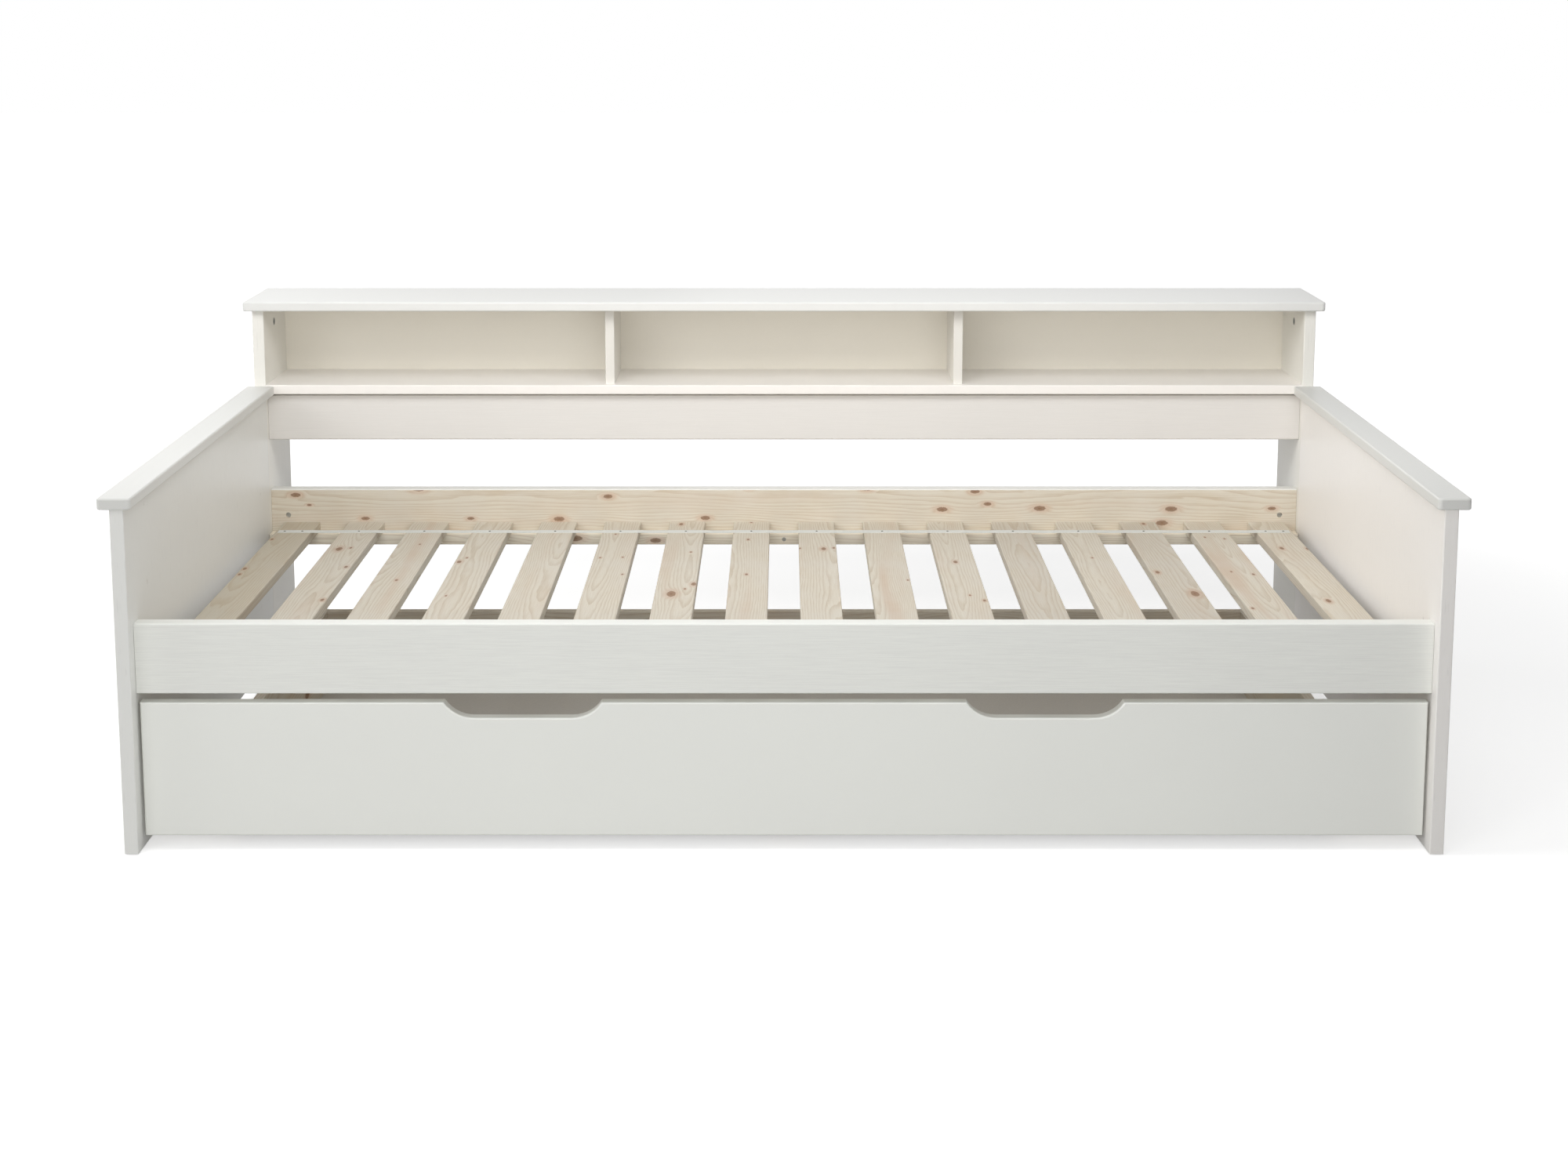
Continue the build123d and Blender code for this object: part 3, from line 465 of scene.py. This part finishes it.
# The battens get a near-white copy of the stain: painted light that lifts them out of the shade under the
# slats
battenLitStain = {**railLitStain, "earlyWood": "#FCF2DB", "stain": "#FFFCF3"}
railPaint = {"paint": "#F4F5EF", "shade": "#E2E2DE", "grainShow": 0.5}
material = paintedRail("white paint and stained pine rear rail", "rear_lower_rail", 1, seed=40,
                       pith=(60, -70), tilt=0.2, knots=rearRailKnots, knotScale=0.55, look=railLitStain,
                       paint={**railPaint, "paint": "#ECEAE4"})
dress(["rear_lower_rail"], material)
material = paintedRail("white paint and stained pine front rail", "front_rail", -1, seed=24, pith=(40, -80),
                       tilt=0.3, knots=[(-700, 20, 8), (-130, -25, 7), (420, 10, 9)], paint=railPaint)
dress(["front_rail"], material)
bareBoards = {
    "slat_batten_front": ("rail", {"pith": (20, -30), "knots": [(-420, 3, 5), (610, -4, 4)],
                                   "look": battenLitStain}),
    "slat_batten_rear": ("rail", {"pith": (25, -20), "knots": [(-405, 2, 6), (-250, -2, 5), (300, 4, 4)],
                                  "look": battenLitStain}),
    "drawer_side_left": ("side", {"pith": (40, -60), "knots": [(-200, 30, 7), (150, -20, 9)]}),
    "drawer_side_right": ("side", {"pith": (-50, -50), "knots": [(-90, -35, 8), (240, 10, 6)]}),
    "drawer_back": ("rail", {"pith": (30, -45), "knots": [(-600, 20, 9), (-120, -30, 6), (510, 0, 10)]}),
    "drawer_stay": ("slat", {"pith": (10, -25), "knots": [(120, 8, 6)]}),
}
for index, (nodeName, (lies, grain)) in enumerate(bareBoards.items()):
    material = stainedBoard(f"stained pine {nodeName}", nodeName, lies, seed=40 + index, **grain)
    dress([nodeName], material)
print("pine finished")


# Metals: colour, its darker tone, roughness and nodes
brackets = [n for n in nodes if n.startswith("wheel_bracket")]
metals = {
    # steel with a thin zinc coat: pale and softly bright
    "zinc plated steel": ("#C8C7C2", "#A9A7A1", 0.42, [
        "barrel_nuts", "frame_bolts", "batten_screws", "drawer_screws", "cam_lock_bolts",
        "drawer_cam_lock_bolts", "wheel_axles", *brackets]),
    # zinc cast in a mould: greyer and duller than the plating
    "zinc die casting": ("#9C9E9D", "#828483", 0.5, ["cam_locks", "drawer_cam_locks"]),
    # drawn steel wire: nearly black, with a small dull shine
    "dark steel wire": ("#4A443D", "#332E29", 0.45, ["strap_tacks", "back_panel_pins"]),
}
metalLook = {"grit": 1.2, "gritDepth": 0.02, "smoother": 0.08, "rougher": 0.12}   # mm, and shares
finishes = {}
for name, (colour, shade, roughness, nodeNames) in metals.items():
    material, tree, shader = startMaterial(name)
    place = addNode(tree, "TexCoord").node.outputs["Object"]
    grit = addNode(tree, "TexNoise", {"Vector": place, "Scale": 1 / (metalLook["grit"] * mm), "Detail": 3})
    tone = addNode(tree, "Mix", {"Factor": grit, "A": linear(colour), "B": linear(shade)}, data_type="RGBA")
    rough = addNode(tree, "MapRange", {"Value": grit, "To Min": roughness - metalLook["smoother"],
                                       "To Max": roughness + metalLook["rougher"]})
    bump = addNode(tree, "Bump", {"Height": grit, "Strength": 0.4, "Distance": metalLook["gritDepth"] * mm})
    finishShader(tree, shader, tone, rough, bump)
    shader.inputs["Metallic"].default_value = 1
    dress(nodeNames, material)
    finishes[name] = material

# Matt finishes: colour, its darker tone and nodes
moulded = [n for n in nodes if n.startswith("drawer_wheel")] + ["floor_glides"]
mattFinishes = {
    # polypropylene from a mould: mid grey, even, dull
    "grey moulded plastic": ("#77797B", "#6C6E70", moulded),
    # pressed fibre with a light face: flat and nearly without grain; its colour is lifted further as
    # painted light against the shade inside the drawer
    "grey hardboard": ("#DAD8D3", "#CBC8C2", ["drawer_bottom"]),
    # woven polyester: cool white, dull
    "white polyester webbing": ("#E6E7E3", "#D6D8D4", ["slat_straps"]),
    # turned beech: warm tan
    "beech dowel": ("#D9BE98", "#C6A67B", ["frame_dowels"]),
}
mattLook = {"grit": 2.5, "gritDepth": 0.03, "roughness": (0.5, 0.65)}   # mm; drawn coarse enough to show
for name, (colour, shade, nodeNames) in mattFinishes.items():
    material, tree, shader = startMaterial(name)
    place = addNode(tree, "TexCoord").node.outputs["Object"]
    grit = addNode(tree, "TexNoise", {"Vector": place, "Scale": 1 / (mattLook["grit"] * mm), "Detail": 3})
    tone = addNode(tree, "Mix", {"Factor": grit, "A": linear(colour), "B": linear(shade)}, data_type="RGBA")
    smooth, coarse = mattLook["roughness"]
    rough = addNode(tree, "MapRange", {"Value": grit, "To Min": smooth, "To Max": coarse})
    bump = addNode(tree, "Bump", {"Height": grit, "Strength": 0.4, "Distance": mattLook["gritDepth"] * mm})
    finishShader(tree, shader, tone, rough, bump)
    dress(nodeNames, material)
    finishes[name] = material
print("plain finishes made")

# Small fittings, modelled from a ring that is extruded along a turned profile

def turned(name, profile, count=24):   # profile: radius and height in mm, from one end to the other
    radius, height = profile[0]
    bpy.ops.object.select_all(action="DESELECT")
    bpy.ops.mesh.primitive_circle_add(vertices=count, radius=radius * mm, location=(0, 0, height * mm))
    piece = bpy.context.object
    piece.name = name
    bpy.ops.object.transform_apply(location=True)
    bpy.ops.object.mode_set(mode="EDIT")
    bpy.ops.mesh.select_all(action="SELECT")
    for nextRadius, nextHeight in profile[1:]:
        rise = (0, 0, (nextHeight - height) * mm)
        bpy.ops.mesh.extrude_region_move(TRANSFORM_OT_translate={"value": rise})
        widen = nextRadius / radius
        bpy.ops.transform.resize(value=(widen, widen, 1), center_override=(0, 0, 0))
        radius, height = nextRadius, nextHeight
    bpy.ops.mesh.select_all(action="SELECT")
    bpy.ops.mesh.remove_doubles(threshold=0.001 * mm)
    bpy.ops.mesh.select_all(action="DESELECT")
    bpy.ops.mesh.select_non_manifold()
    bpy.ops.mesh.fill_holes(sides=0)
    bpy.ops.mesh.select_all(action="SELECT")
    bpy.ops.mesh.normals_make_consistent(inside=False)
    bpy.ops.object.mode_set(mode="OBJECT")
    return piece


def applyModifier(piece, kind, **settings):
    bpy.ops.object.select_all(action="DESELECT")
    piece.select_set(True)
    bpy.context.view_layer.objects.active = piece
    modifier = piece.modifiers.new(kind.lower(), kind)
    for name, value in settings.items():
        setattr(modifier, name, value)
    bpy.ops.object.modifier_apply(modifier=modifier.name)


def cutWith(piece, cutter):            # the cutter is the active object, a block or a prism
    bpy.ops.object.transform_apply(location=True, rotation=True, scale=True)
    applyModifier(piece, "BOOLEAN", operation="DIFFERENCE", object=cutter, solver="EXACT")
    bpy.data.objects.remove(cutter)


def cutBlock(piece, centre, size):     # mm
    bpy.ops.object.select_all(action="DESELECT")
    bpy.ops.mesh.primitive_cube_add(size=mm, location=Vector(centre) * mm)
    bpy.context.object.scale = size
    cutWith(piece, bpy.context.object)


def cutRod(piece, centre, radius, depth, corners=24, turn=(0, 0, 0)):   # mm
    bpy.ops.object.select_all(action="DESELECT")
    bpy.ops.mesh.primitive_cylinder_add(vertices=corners, radius=radius * mm, depth=depth * mm,
                                        location=Vector(centre) * mm, rotation=turn)
    cutWith(piece, bpy.context.object)


def spread(piece, places):             # a copy at each place, turned so that its Z runs along a direction
    bpy.ops.object.select_all(action="DESELECT")
    for place, direction in places:
        part = piece.copy()
        part.data = piece.data.copy()
        part.location = Vector(place) * mm
        part.rotation_euler = Vector(direction).to_track_quat("Z", "Y").to_euler()
        bpy.context.scene.collection.objects.link(part)
        part.select_set(True)
    name = piece.name
    bpy.data.objects.remove(piece)
    bpy.context.view_layer.objects.active = part
    bpy.ops.object.join()
    bpy.ops.object.transform_apply(location=True, rotation=True, scale=True)
    part.name = name
    return part


def finishPiece(piece, body, replaced, material, crease=35):
    bpy.ops.object.select_all(action="DESELECT")
    piece.select_set(True)
    bpy.context.view_layer.objects.active = piece
    bpy.ops.object.shade_smooth_by_angle(angle=math.radians(crease))
    piece.data.materials.clear()
    piece.data.materials.append(material)
    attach(piece, body)
    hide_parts(*replaced)
    print(piece.name, "made")


sides = (-1, 1)          # left and right
endsInner = 1002         # mm from the bed's middle to the ends' inner and outer faces
endsOuter = 1024
railBolts = [(-520, 312), (409, 312), (409, 506)]    # Y and Z of each rail's bolts

# Connecting bolts: domed flat heads with a hexagon socket, on the ends' outer faces
boltLook = {             # mm; a profile gives radius and height
    "profile": [(2.4, -62.4), (3, -61.6), (3, 0), (7.2, 0), (7.5, 0.3), (7.5, 1.3), (7.1, 2.1), (6.2, 2.5)],
    "socketMiddle": 1.6,
    "socketRadius": 2.3,
    "socketDepth": 2,
}
bolt = turned("frameBolts", boltLook["profile"], 32)
cutRod(bolt, (0, 0, boltLook["socketMiddle"]), boltLook["socketRadius"], boltLook["socketDepth"], corners=6)
frameBolts = spread(bolt, [((side * endsOuter, y, z), (side, 0, 0)) for y, z in railBolts
                           for side in sides])

# Barrel nuts: chamfered rods with a screwdriver slot and a cross hole
nutLook = {              # mm
    "profile": [(4.3, -9), (5, -8.3), (5, 8.3), (4.3, 9)],
    "slot": (11, 1.6, 3),
    "holeRadius": 3.1,
    "fromMiddle": 969.6,     # mm along the bed
    "facing": (1, -1, 1),    # the way each rail's slots look: 1 to the rear
}
nut = turned("barrelNuts", nutLook["profile"], 32)
cutBlock(nut, (0, 0, nutLook["profile"][-1][1]), nutLook["slot"])
cutRod(nut, (0, 0, 0), nutLook["holeRadius"], 12, turn=(0, math.radians(90), 0))
places = []
for (y, z), facing in zip(railBolts, nutLook["facing"]):
    places += [((side * nutLook["fromMiddle"], y, z), (0, facing, 0)) for side in sides]
barrelNuts = spread(nut, places)

# Cam locks: die-cast discs let in flush, with a narrow lip and a cross recess
camLook = {
    "radius": 7.5,           # mm
    "depth": 12.5,
    "recessLength": 8.5,
    "recessWidth": 1.7,
    "recessDepth": 2.2,
    "outside": [(349, 182.16), (349, 369.84)],   # Y and Z on the ends' outer faces
    "top": (471, 684),       # under the bookcase's top, on the inner faces
    "shelf": (968, 554, (416, 526)),             # X, Z and both Y, from above in the shelf board
    "drawer": (872, -481, (61, 139)),            # X, Y and both Z, behind the drawer's front
}


def camDisc(name):
    radius, depth = camLook["radius"], camLook["depth"]
    disc = turned(name, [(radius, -depth), (radius, -0.4), (radius - 0.35, 0), (radius - 1.1, 0),
                         (radius - 1.4, -0.35), (radius - 2.4, -0.35)], 32)
    length, width = camLook["recessLength"], camLook["recessWidth"]
    for size in ((length, width), (width, length)):
        cutBlock(disc, (0, 0, 0), (*size, 2 * camLook["recessDepth"]))
    return disc


places = []
shelfX, shelfZ, shelfRows = camLook["shelf"]
for side in sides:
    places += [((side * endsOuter, y, z), (side, 0, 0)) for y, z in camLook["outside"]]
    places.append(((side * endsInner, *camLook["top"]), (-side, 0, 0)))
    places += [((side * shelfX, y, shelfZ), (0, 0, -1)) for y in shelfRows]
camLocks = spread(camDisc("camLocks"), places)
x, y, heights = camLook["drawer"]
drawerCamLocks = spread(camDisc("drawerCamLocks"), [((side * x, y, z), (side, 0, 0)) for side in sides
                                                    for z in heights])

# Tacks through the straps: small domed heads, a little uneven like driven ones
slatRow = {"count": 16, "first": -942.5, "step": 125.667}    # mm along the bed
tackLook = {             # mm
    "profile": [(0.3, -13.2), (0.8, -12), (0.8, 0), (2.2, 0), (2.2, 0.15), (1.9, 0.45), (1.3, 0.68),
                (0.6, 0.78)],
    "height": 299.2,
    "fromMiddle": 17,        # mm, for the two tacks in each outer slat
    "rows": (-427, 316),     # the straps' middles
    "lean": 0.06,            # slope of the driven tacks, along the bed and across it
    "nod": 0.05,
}
tack = turned("strapTacks", tackLook["profile"], 16)
places = []
for number in range(slatRow["count"]):
    x = slatRow["first"] + number * slatRow["step"]
    outermost = number in (0, slatRow["count"] - 1)
    columns = (x - tackLook["fromMiddle"], x + tackLook["fromMiddle"]) if outermost else (x,)
    for column in columns:
        for row, y in enumerate(tackLook["rows"]):
            lean = tackLook["lean"] * math.sin(7 * number + 3 * row)
            nod = tackLook["nod"] * math.cos(5 * number + row)
            places.append(((column, y, tackLook["height"]), (lean, nod, 1)))
strapTacks = spread(tack, places)

# Webbing straps: flat over each slat, hanging a little between them, with rounded edges
strapLook = {
    "width": 18,             # mm
    "thickness": 1.2,
    "reach": 971.5,
    "slatTop": 298,
    "sag": 0.4,              # mm below a straight line between two slats
    "halfGap": 27,           # mm from a gap's middle to where the strap lies flat again
    "gapCuts": (-31, -24, -12, 0, 12, 24, 31),   # mm from a gap's middle
    "widthCuts": (-0.42, -0.25, 0.25, 0.42),     # shares of the width
    "play": 0.02,            # mm kept free above and below
    "edge": 0.35,            # mm, the rounded selvedge
}


def webbingStrap(name, y):
    bpy.ops.object.select_all(action="DESELECT")
    low = strapLook["slatTop"] + strapLook["play"]
    bpy.ops.mesh.primitive_plane_add(size=mm, location=(0, y * mm, low * mm))
    strap = bpy.context.object
    strap.name = name
    strap.scale = (2 * strapLook["reach"], strapLook["width"], 1)
    bpy.ops.object.transform_apply(location=True, rotation=True, scale=True)
    bpy.ops.object.mode_set(mode="EDIT")
    for number in range(slatRow["count"] - 1):   # cuts at the slats' edges and in the gap after each slat
        gap = slatRow["first"] + (number + 0.5) * slatRow["step"]
        for offset in strapLook["gapCuts"]:
            bpy.ops.mesh.select_all(action="SELECT")
            bpy.ops.mesh.bisect(plane_co=((gap + offset) * mm, 0, 0), plane_no=(1, 0, 0))
    for share in strapLook["widthCuts"]:
        bpy.ops.mesh.select_all(action="SELECT")
        bpy.ops.mesh.bisect(plane_co=(0, (y + share * strapLook["width"]) * mm, 0), plane_no=(0, 1, 0))
    bpy.ops.mesh.select_all(action="DESELECT")
    bpy.ops.object.mode_set(mode="OBJECT")
    for vertex in strap.data.vertices:   # the stretches between slats hang
        fromSlat = (vertex.co.x / mm - slatRow["first"]) / slatRow["step"]
        inGap = max(0, 1 - abs(fromSlat % 1 - 0.5) * slatRow["step"] / strapLook["halfGap"])
        vertex.co.z -= strapLook["sag"] * mm * inGap * (2 - inGap)
    thickness = strapLook["thickness"] - 2 * strapLook["play"]
    applyModifier(strap, "SOLIDIFY", thickness=thickness * mm, offset=1)
    applyModifier(strap, "BEVEL", width=strapLook["edge"] * mm, segments=2, limit_method="ANGLE")
    return strap


straps = [webbingStrap(f"webbingStrap{index + 1}", y) for index, y in enumerate(tackLook["rows"])]

# Drawer wheels: moulded rim with a rounded tread, web with ribs, and a hub round the axle
wheelLook = {
    "radius": 25,            # mm
    "width": 18,
    "rim": 19,               # the rim's inner radius
    "hub": 9,
    "bore": 3.08,
    "web": 7,
    "ribs": 6,
    "ribThickness": 2.4,
    "treadGroove": 0.6,
    "fromMiddle": 885,       # mm along the bed
    "rows": {"front": -420, "rear": 106},
}


def drawerWheel(name, side, y):
    half, web = wheelLook["width"] / 2, wheelLook["web"] / 2
    radius, rim, hub, bore = (wheelLook[key] for key in ("radius", "rim", "hub", "bore"))
    face = [(bore, half), (bore + 0.3, half), (hub - 0.6, half), (hub, half - 0.6),
            (hub + 0.3, web + 0.8), (hub + 1.1, web), (rim - 1.1, web), (rim - 0.3, web + 0.8),
            (rim, half - 0.6), (rim + 0.6, half), (radius - 3, half), (radius - 1.2, half - 0.5),
            (radius - 0.35, half - 1.5), (radius, half - 3)]
    groove = [(radius, 2.2), (radius - wheelLook["treadGroove"], 1.7)]
    otherFace = [(r, -height) for r, height in reversed(face + groove)]
    wheel = turned(name, face + groove + otherFace + [face[0]], 64)
    ribs = wheelLook["ribs"]
    for number in range(ribs):           # ribs from hub to rim on both sides of the web
        angle = 2 * math.pi * number / ribs
        middle = (hub + rim) / 2
        bpy.ops.object.select_all(action="DESELECT")
        bpy.ops.mesh.primitive_cube_add(size=mm, rotation=(0, 0, angle), location=(
            middle * math.cos(angle) * mm, middle * math.sin(angle) * mm, 0))
        rib = bpy.context.object
        rib.scale = (rim - hub + 1, wheelLook["ribThickness"], wheelLook["width"] - 3)
        bpy.ops.object.transform_apply(location=True, rotation=True, scale=True)
        applyModifier(rib, "BEVEL", width=0.5 * mm, segments=2)
        applyModifier(wheel, "BOOLEAN", operation="UNION", object=rib, solver="EXACT")
        bpy.data.objects.remove(rib)
    wheelCentre = (side * wheelLook["fromMiddle"], y, radius)
    return spread(wheel, [(wheelCentre, (side, 0, 0))])


wheels = {}
for end, y in wheelLook["rows"].items():
    for hand, side in (("left", -1), ("right", 1)):
        wheels[f"{end}_{hand}"] = drawerWheel(f"drawerWheel.{end}.{hand}", side, y)

# Screws with a cross recess, and the axles' domed heads

def crossScrew(name, radius, headRadius, length, panHeight=0):   # mm; a pan head stands on the surface
    shank = [(0.3, -length), (0.6 * radius, -length + 2.5), (radius, -length + 6)]
    if panHeight:
        head = [(radius, 0), (headRadius, 0), (headRadius, 0.4 * panHeight),
                (0.8 * headRadius, 0.85 * panHeight), (0.5 * headRadius, panHeight)]
    else:
        head = [(radius, radius - headRadius), (headRadius - 0.1, -0.15), (headRadius - 0.3, 0)]
    screw = turned(name, shank + head, 24)
    long, wide = 1.1 * headRadius, 0.3 * headRadius
    for size in ((long, wide), (wide, long)):
        cutBlock(screw, (0, 0, panHeight), (*size, 1.1 * radius))
    return screw


screwLook = {            # places in mm
    "battens": {"count": 7, "length": 2004, "front": -479, "rear": 368, "height": 270},
    "boxBack": {"x": 872, "y": 192, "heights": (53.2, 100, 146.8)},
    "stay": {"rows": (-410.3, -166, 78.3), "height": 16},
    "brackets": {"x": 874, "height": 71, "offsets": (-20, 20)},
}
battens = screwLook["battens"]
places = []
for number in range(battens["count"]):
    x = battens["length"] * ((number + 0.5) / battens["count"] - 0.5)
    places += [((x, battens["front"], battens["height"]), (0, 1, 0)),
               ((x, battens["rear"], battens["height"]), (0, -1, 0))]
battenScrews = spread(crossScrew("battenScrews", 2, 4, 45), places)
boxBack, stay, bracket = screwLook["boxBack"], screwLook["stay"], screwLook["brackets"]
wheelRows = wheelLook["rows"].values()
drawerScrews = [
    spread(crossScrew("drawerBoxScrews", 2.25, 4.5, 45),
           [((side * boxBack["x"], boxBack["y"], z), (side, 0, 0)) for side in sides
            for z in boxBack["heights"]]),
    spread(crossScrew("drawerStayScrews", 1.75, 3.5, 16),
           [((0, y, stay["height"]), (0, 0, -1)) for y in stay["rows"]]),
    spread(crossScrew("bracketScrews", 1.75, 3.5, 15, panHeight=2),
           [((side * bracket["x"], y + offset, bracket["height"]), (side, 0, 0)) for side in sides
            for y in wheelRows for offset in bracket["offsets"]]),
]
axleLook = {             # mm
    "profile": [(2.7, -26), (3, -25.7), (3, 0), (4.6, 0), (5, 0.3), (5, 0.8), (4.2, 1.3), (2.5, 1.5)],
    "fromMiddle": 898,       # mm to the head's seat
}
axle = turned("wheelAxles", axleLook["profile"], 24)
wheelAxles = spread(axle, [((side * axleLook["fromMiddle"], y, wheelLook["radius"]), (side, 0, 0))
                           for side in sides for y in wheelRows])
print("fittings made")

zincPlated, zincCast = finishes["zinc plated steel"], finishes["zinc die casting"]
finishPiece(frameBolts, "frame", ["frame_bolts"], zincPlated)
finishPiece(barrelNuts, "frame", ["barrel_nuts"], zincPlated)
finishPiece(camLocks, "frame", ["cam_locks"], zincCast)
finishPiece(drawerCamLocks, "drawer", ["drawer_cam_locks"], zincCast)
finishPiece(strapTacks, "frame", ["strap_tacks"], finishes["dark steel wire"])
finishPiece(battenScrews, "frame", ["batten_screws"], zincPlated)
for screws in drawerScrews:
    finishPiece(screws, "drawer", ["drawer_screws"], zincPlated)
finishPiece(wheelAxles, "drawer", ["wheel_axles"], zincPlated)
for strap in straps:
    finishPiece(strap, "frame", ["slat_straps"], finishes["white polyester webbing"])
for place, wheel in wheels.items():
    finishPiece(wheel, f"wheel_{place}", [f"drawer_wheel_{place}"],
                finishes["grey moulded plastic"])


# Stage: plain floor, soft lamps, camera
stageLook = {
    "floorSize": 40,         # metres
    "floor": "#F2F2F2",
    "floorBounce": "#BCBCBC",    # the floor as it lights the object
    "floorRoughness": 0.9,
    "floorLift": (0.5, 0.85),    # what the floor adds for the camera, near and far, to meet the white
    "liftStart": 1.5,        # metres from the bed's middle
    "liftEnd": 3.2,
    "worldLight": 0.28,
}
bedMiddle = (0, 0, 0.4)
bookcaseMiddle = (0, 0.47, 0.62)
lamps = {                    # place and aim in metres, width and height, watts
    "leftLamp": ((-3.6, -0.4, 1.8), bedMiddle, (2.2, 2.2), 38),
    "frontLeftLamp": ((-2.8, -3.6, 2.2), bedMiddle, (2, 2), 29),
    "frontLamp": ((0, -5.2, 2), bedMiddle, (2.5, 2.5), 5),
    "shelfLamp": ((0, -0.5, 1.5), bookcaseMiddle, (2.4, 0.5), 13),
    "shelfFillLamp": ((0, -2.4, 0.9), bookcaseMiddle, (2.6, 0.6), 15),
    "topLamp": ((0, 0.5, 2.4), bookcaseMiddle, (2.4, 2.4), 2.5),
    "rearLeftLamp": ((-1.4, 1.3, 1.8), (-0.3, 0.4, 0.6), (1.2, 1.2), 7),
    "backLamp": ((0.8, 4.6, 1.2), bedMiddle, (2.4, 2), 11),
    "rightLamp": ((3.8, -0.6, 1.4), bedMiddle, (2, 2), 4),
}


def pathToEye(tree):     # 1 for what the camera sees, straight or in gloss or glass
    path = addNode(tree, "LightPath").node
    seen = addNode(tree, "Math", {0: path.outputs["Is Camera Ray"], 1: path.outputs["Is Glossy Ray"]},
                   operation="MAXIMUM")
    return addNode(tree, "Math", {0: seen, 1: path.outputs["Is Transmission Ray"]}, operation="MAXIMUM")


world = bpy.data.worlds.new("studio")
bpy.context.scene.world = world
world.use_nodes = True
tree = world.node_tree
strength = addNode(tree, "MapRange", {"Value": pathToEye(tree), "To Min": stageLook["worldLight"],
                                      "To Max": 1})
tree.links.new(strength, tree.nodes["Background"].inputs["Strength"])
tree.nodes["Background"].inputs["Color"].default_value = (1, 1, 1, 1)

bpy.ops.object.select_all(action="DESELECT")
bpy.ops.mesh.primitive_plane_add(size=stageLook["floorSize"], location=(0, 0, 0))
floor = bpy.context.object
floor.name = "studioFloor"
material, tree, shader = startMaterial("matt white floor")
tone = addNode(tree, "Mix", {"Factor": pathToEye(tree), "A": linear(stageLook["floorBounce"]),
                             "B": linear(stageLook["floor"])}, data_type="RGBA")
tree.links.new(tone, shader.inputs["Base Color"])
shader.inputs["Roughness"].default_value = stageLook["floorRoughness"]
shader.inputs["Specular IOR Level"].default_value = 0
place = addNode(tree, "TexCoord").node.outputs["Object"]
away = addNode(tree, "VectorMath", {0: place}, operation="LENGTH").node.outputs["Value"]
near, far = stageLook["floorLift"]
lift = addNode(tree, "MapRange", {"Value": away, "From Min": stageLook["liftStart"],
                                  "From Max": stageLook["liftEnd"], "To Min": near, "To Max": far},
               interpolation_type="SMOOTHSTEP")
lift = addNode(tree, "Math", {0: pathToEye(tree), 1: lift}, operation="MULTIPLY")
shader.inputs["Emission Color"].default_value = (1, 1, 1, 1)
tree.links.new(lift, shader.inputs["Emission Strength"])
floor.data.materials.append(material)

for name, (place, aim, size, watts) in lamps.items():
    data = bpy.data.lights.new(name, "AREA")
    data.shape = "RECTANGLE"
    data.size, data.size_y = size
    data.energy = watts
    lamp = bpy.data.objects.new(name, data)
    lamp.location = place
    lamp.rotation_euler = (Vector(aim) - Vector(place)).to_track_quat("-Z", "Y").to_euler()
    lamp.visible_camera = False
    bpy.context.scene.collection.objects.link(lamp)

photoWidth = 2000        # pixels
cameraLook = {
    "place": (0, -3.842, 1.332),
    "pitch": 8.55,           # degrees below level
    "focal": 2831,           # pixels of the photograph
    "sensor": 36,            # mm
    "shift": -0.17,
}
cameraData = bpy.data.cameras.new("photoCamera")
cameraData.sensor_width = cameraLook["sensor"]
cameraData.lens = cameraLook["focal"] / photoWidth * cameraLook["sensor"]
cameraData.shift_y = cameraLook["shift"]
camera = bpy.data.objects.new("photoCamera", cameraData)
camera.location = cameraLook["place"]
camera.rotation_euler = (math.radians(90 - cameraLook["pitch"]), 0, 0)
bpy.context.scene.collection.objects.link(camera)
bpy.context.scene.camera = camera
bpy.context.scene.view_settings.view_transform = "Standard"
print("stage set")
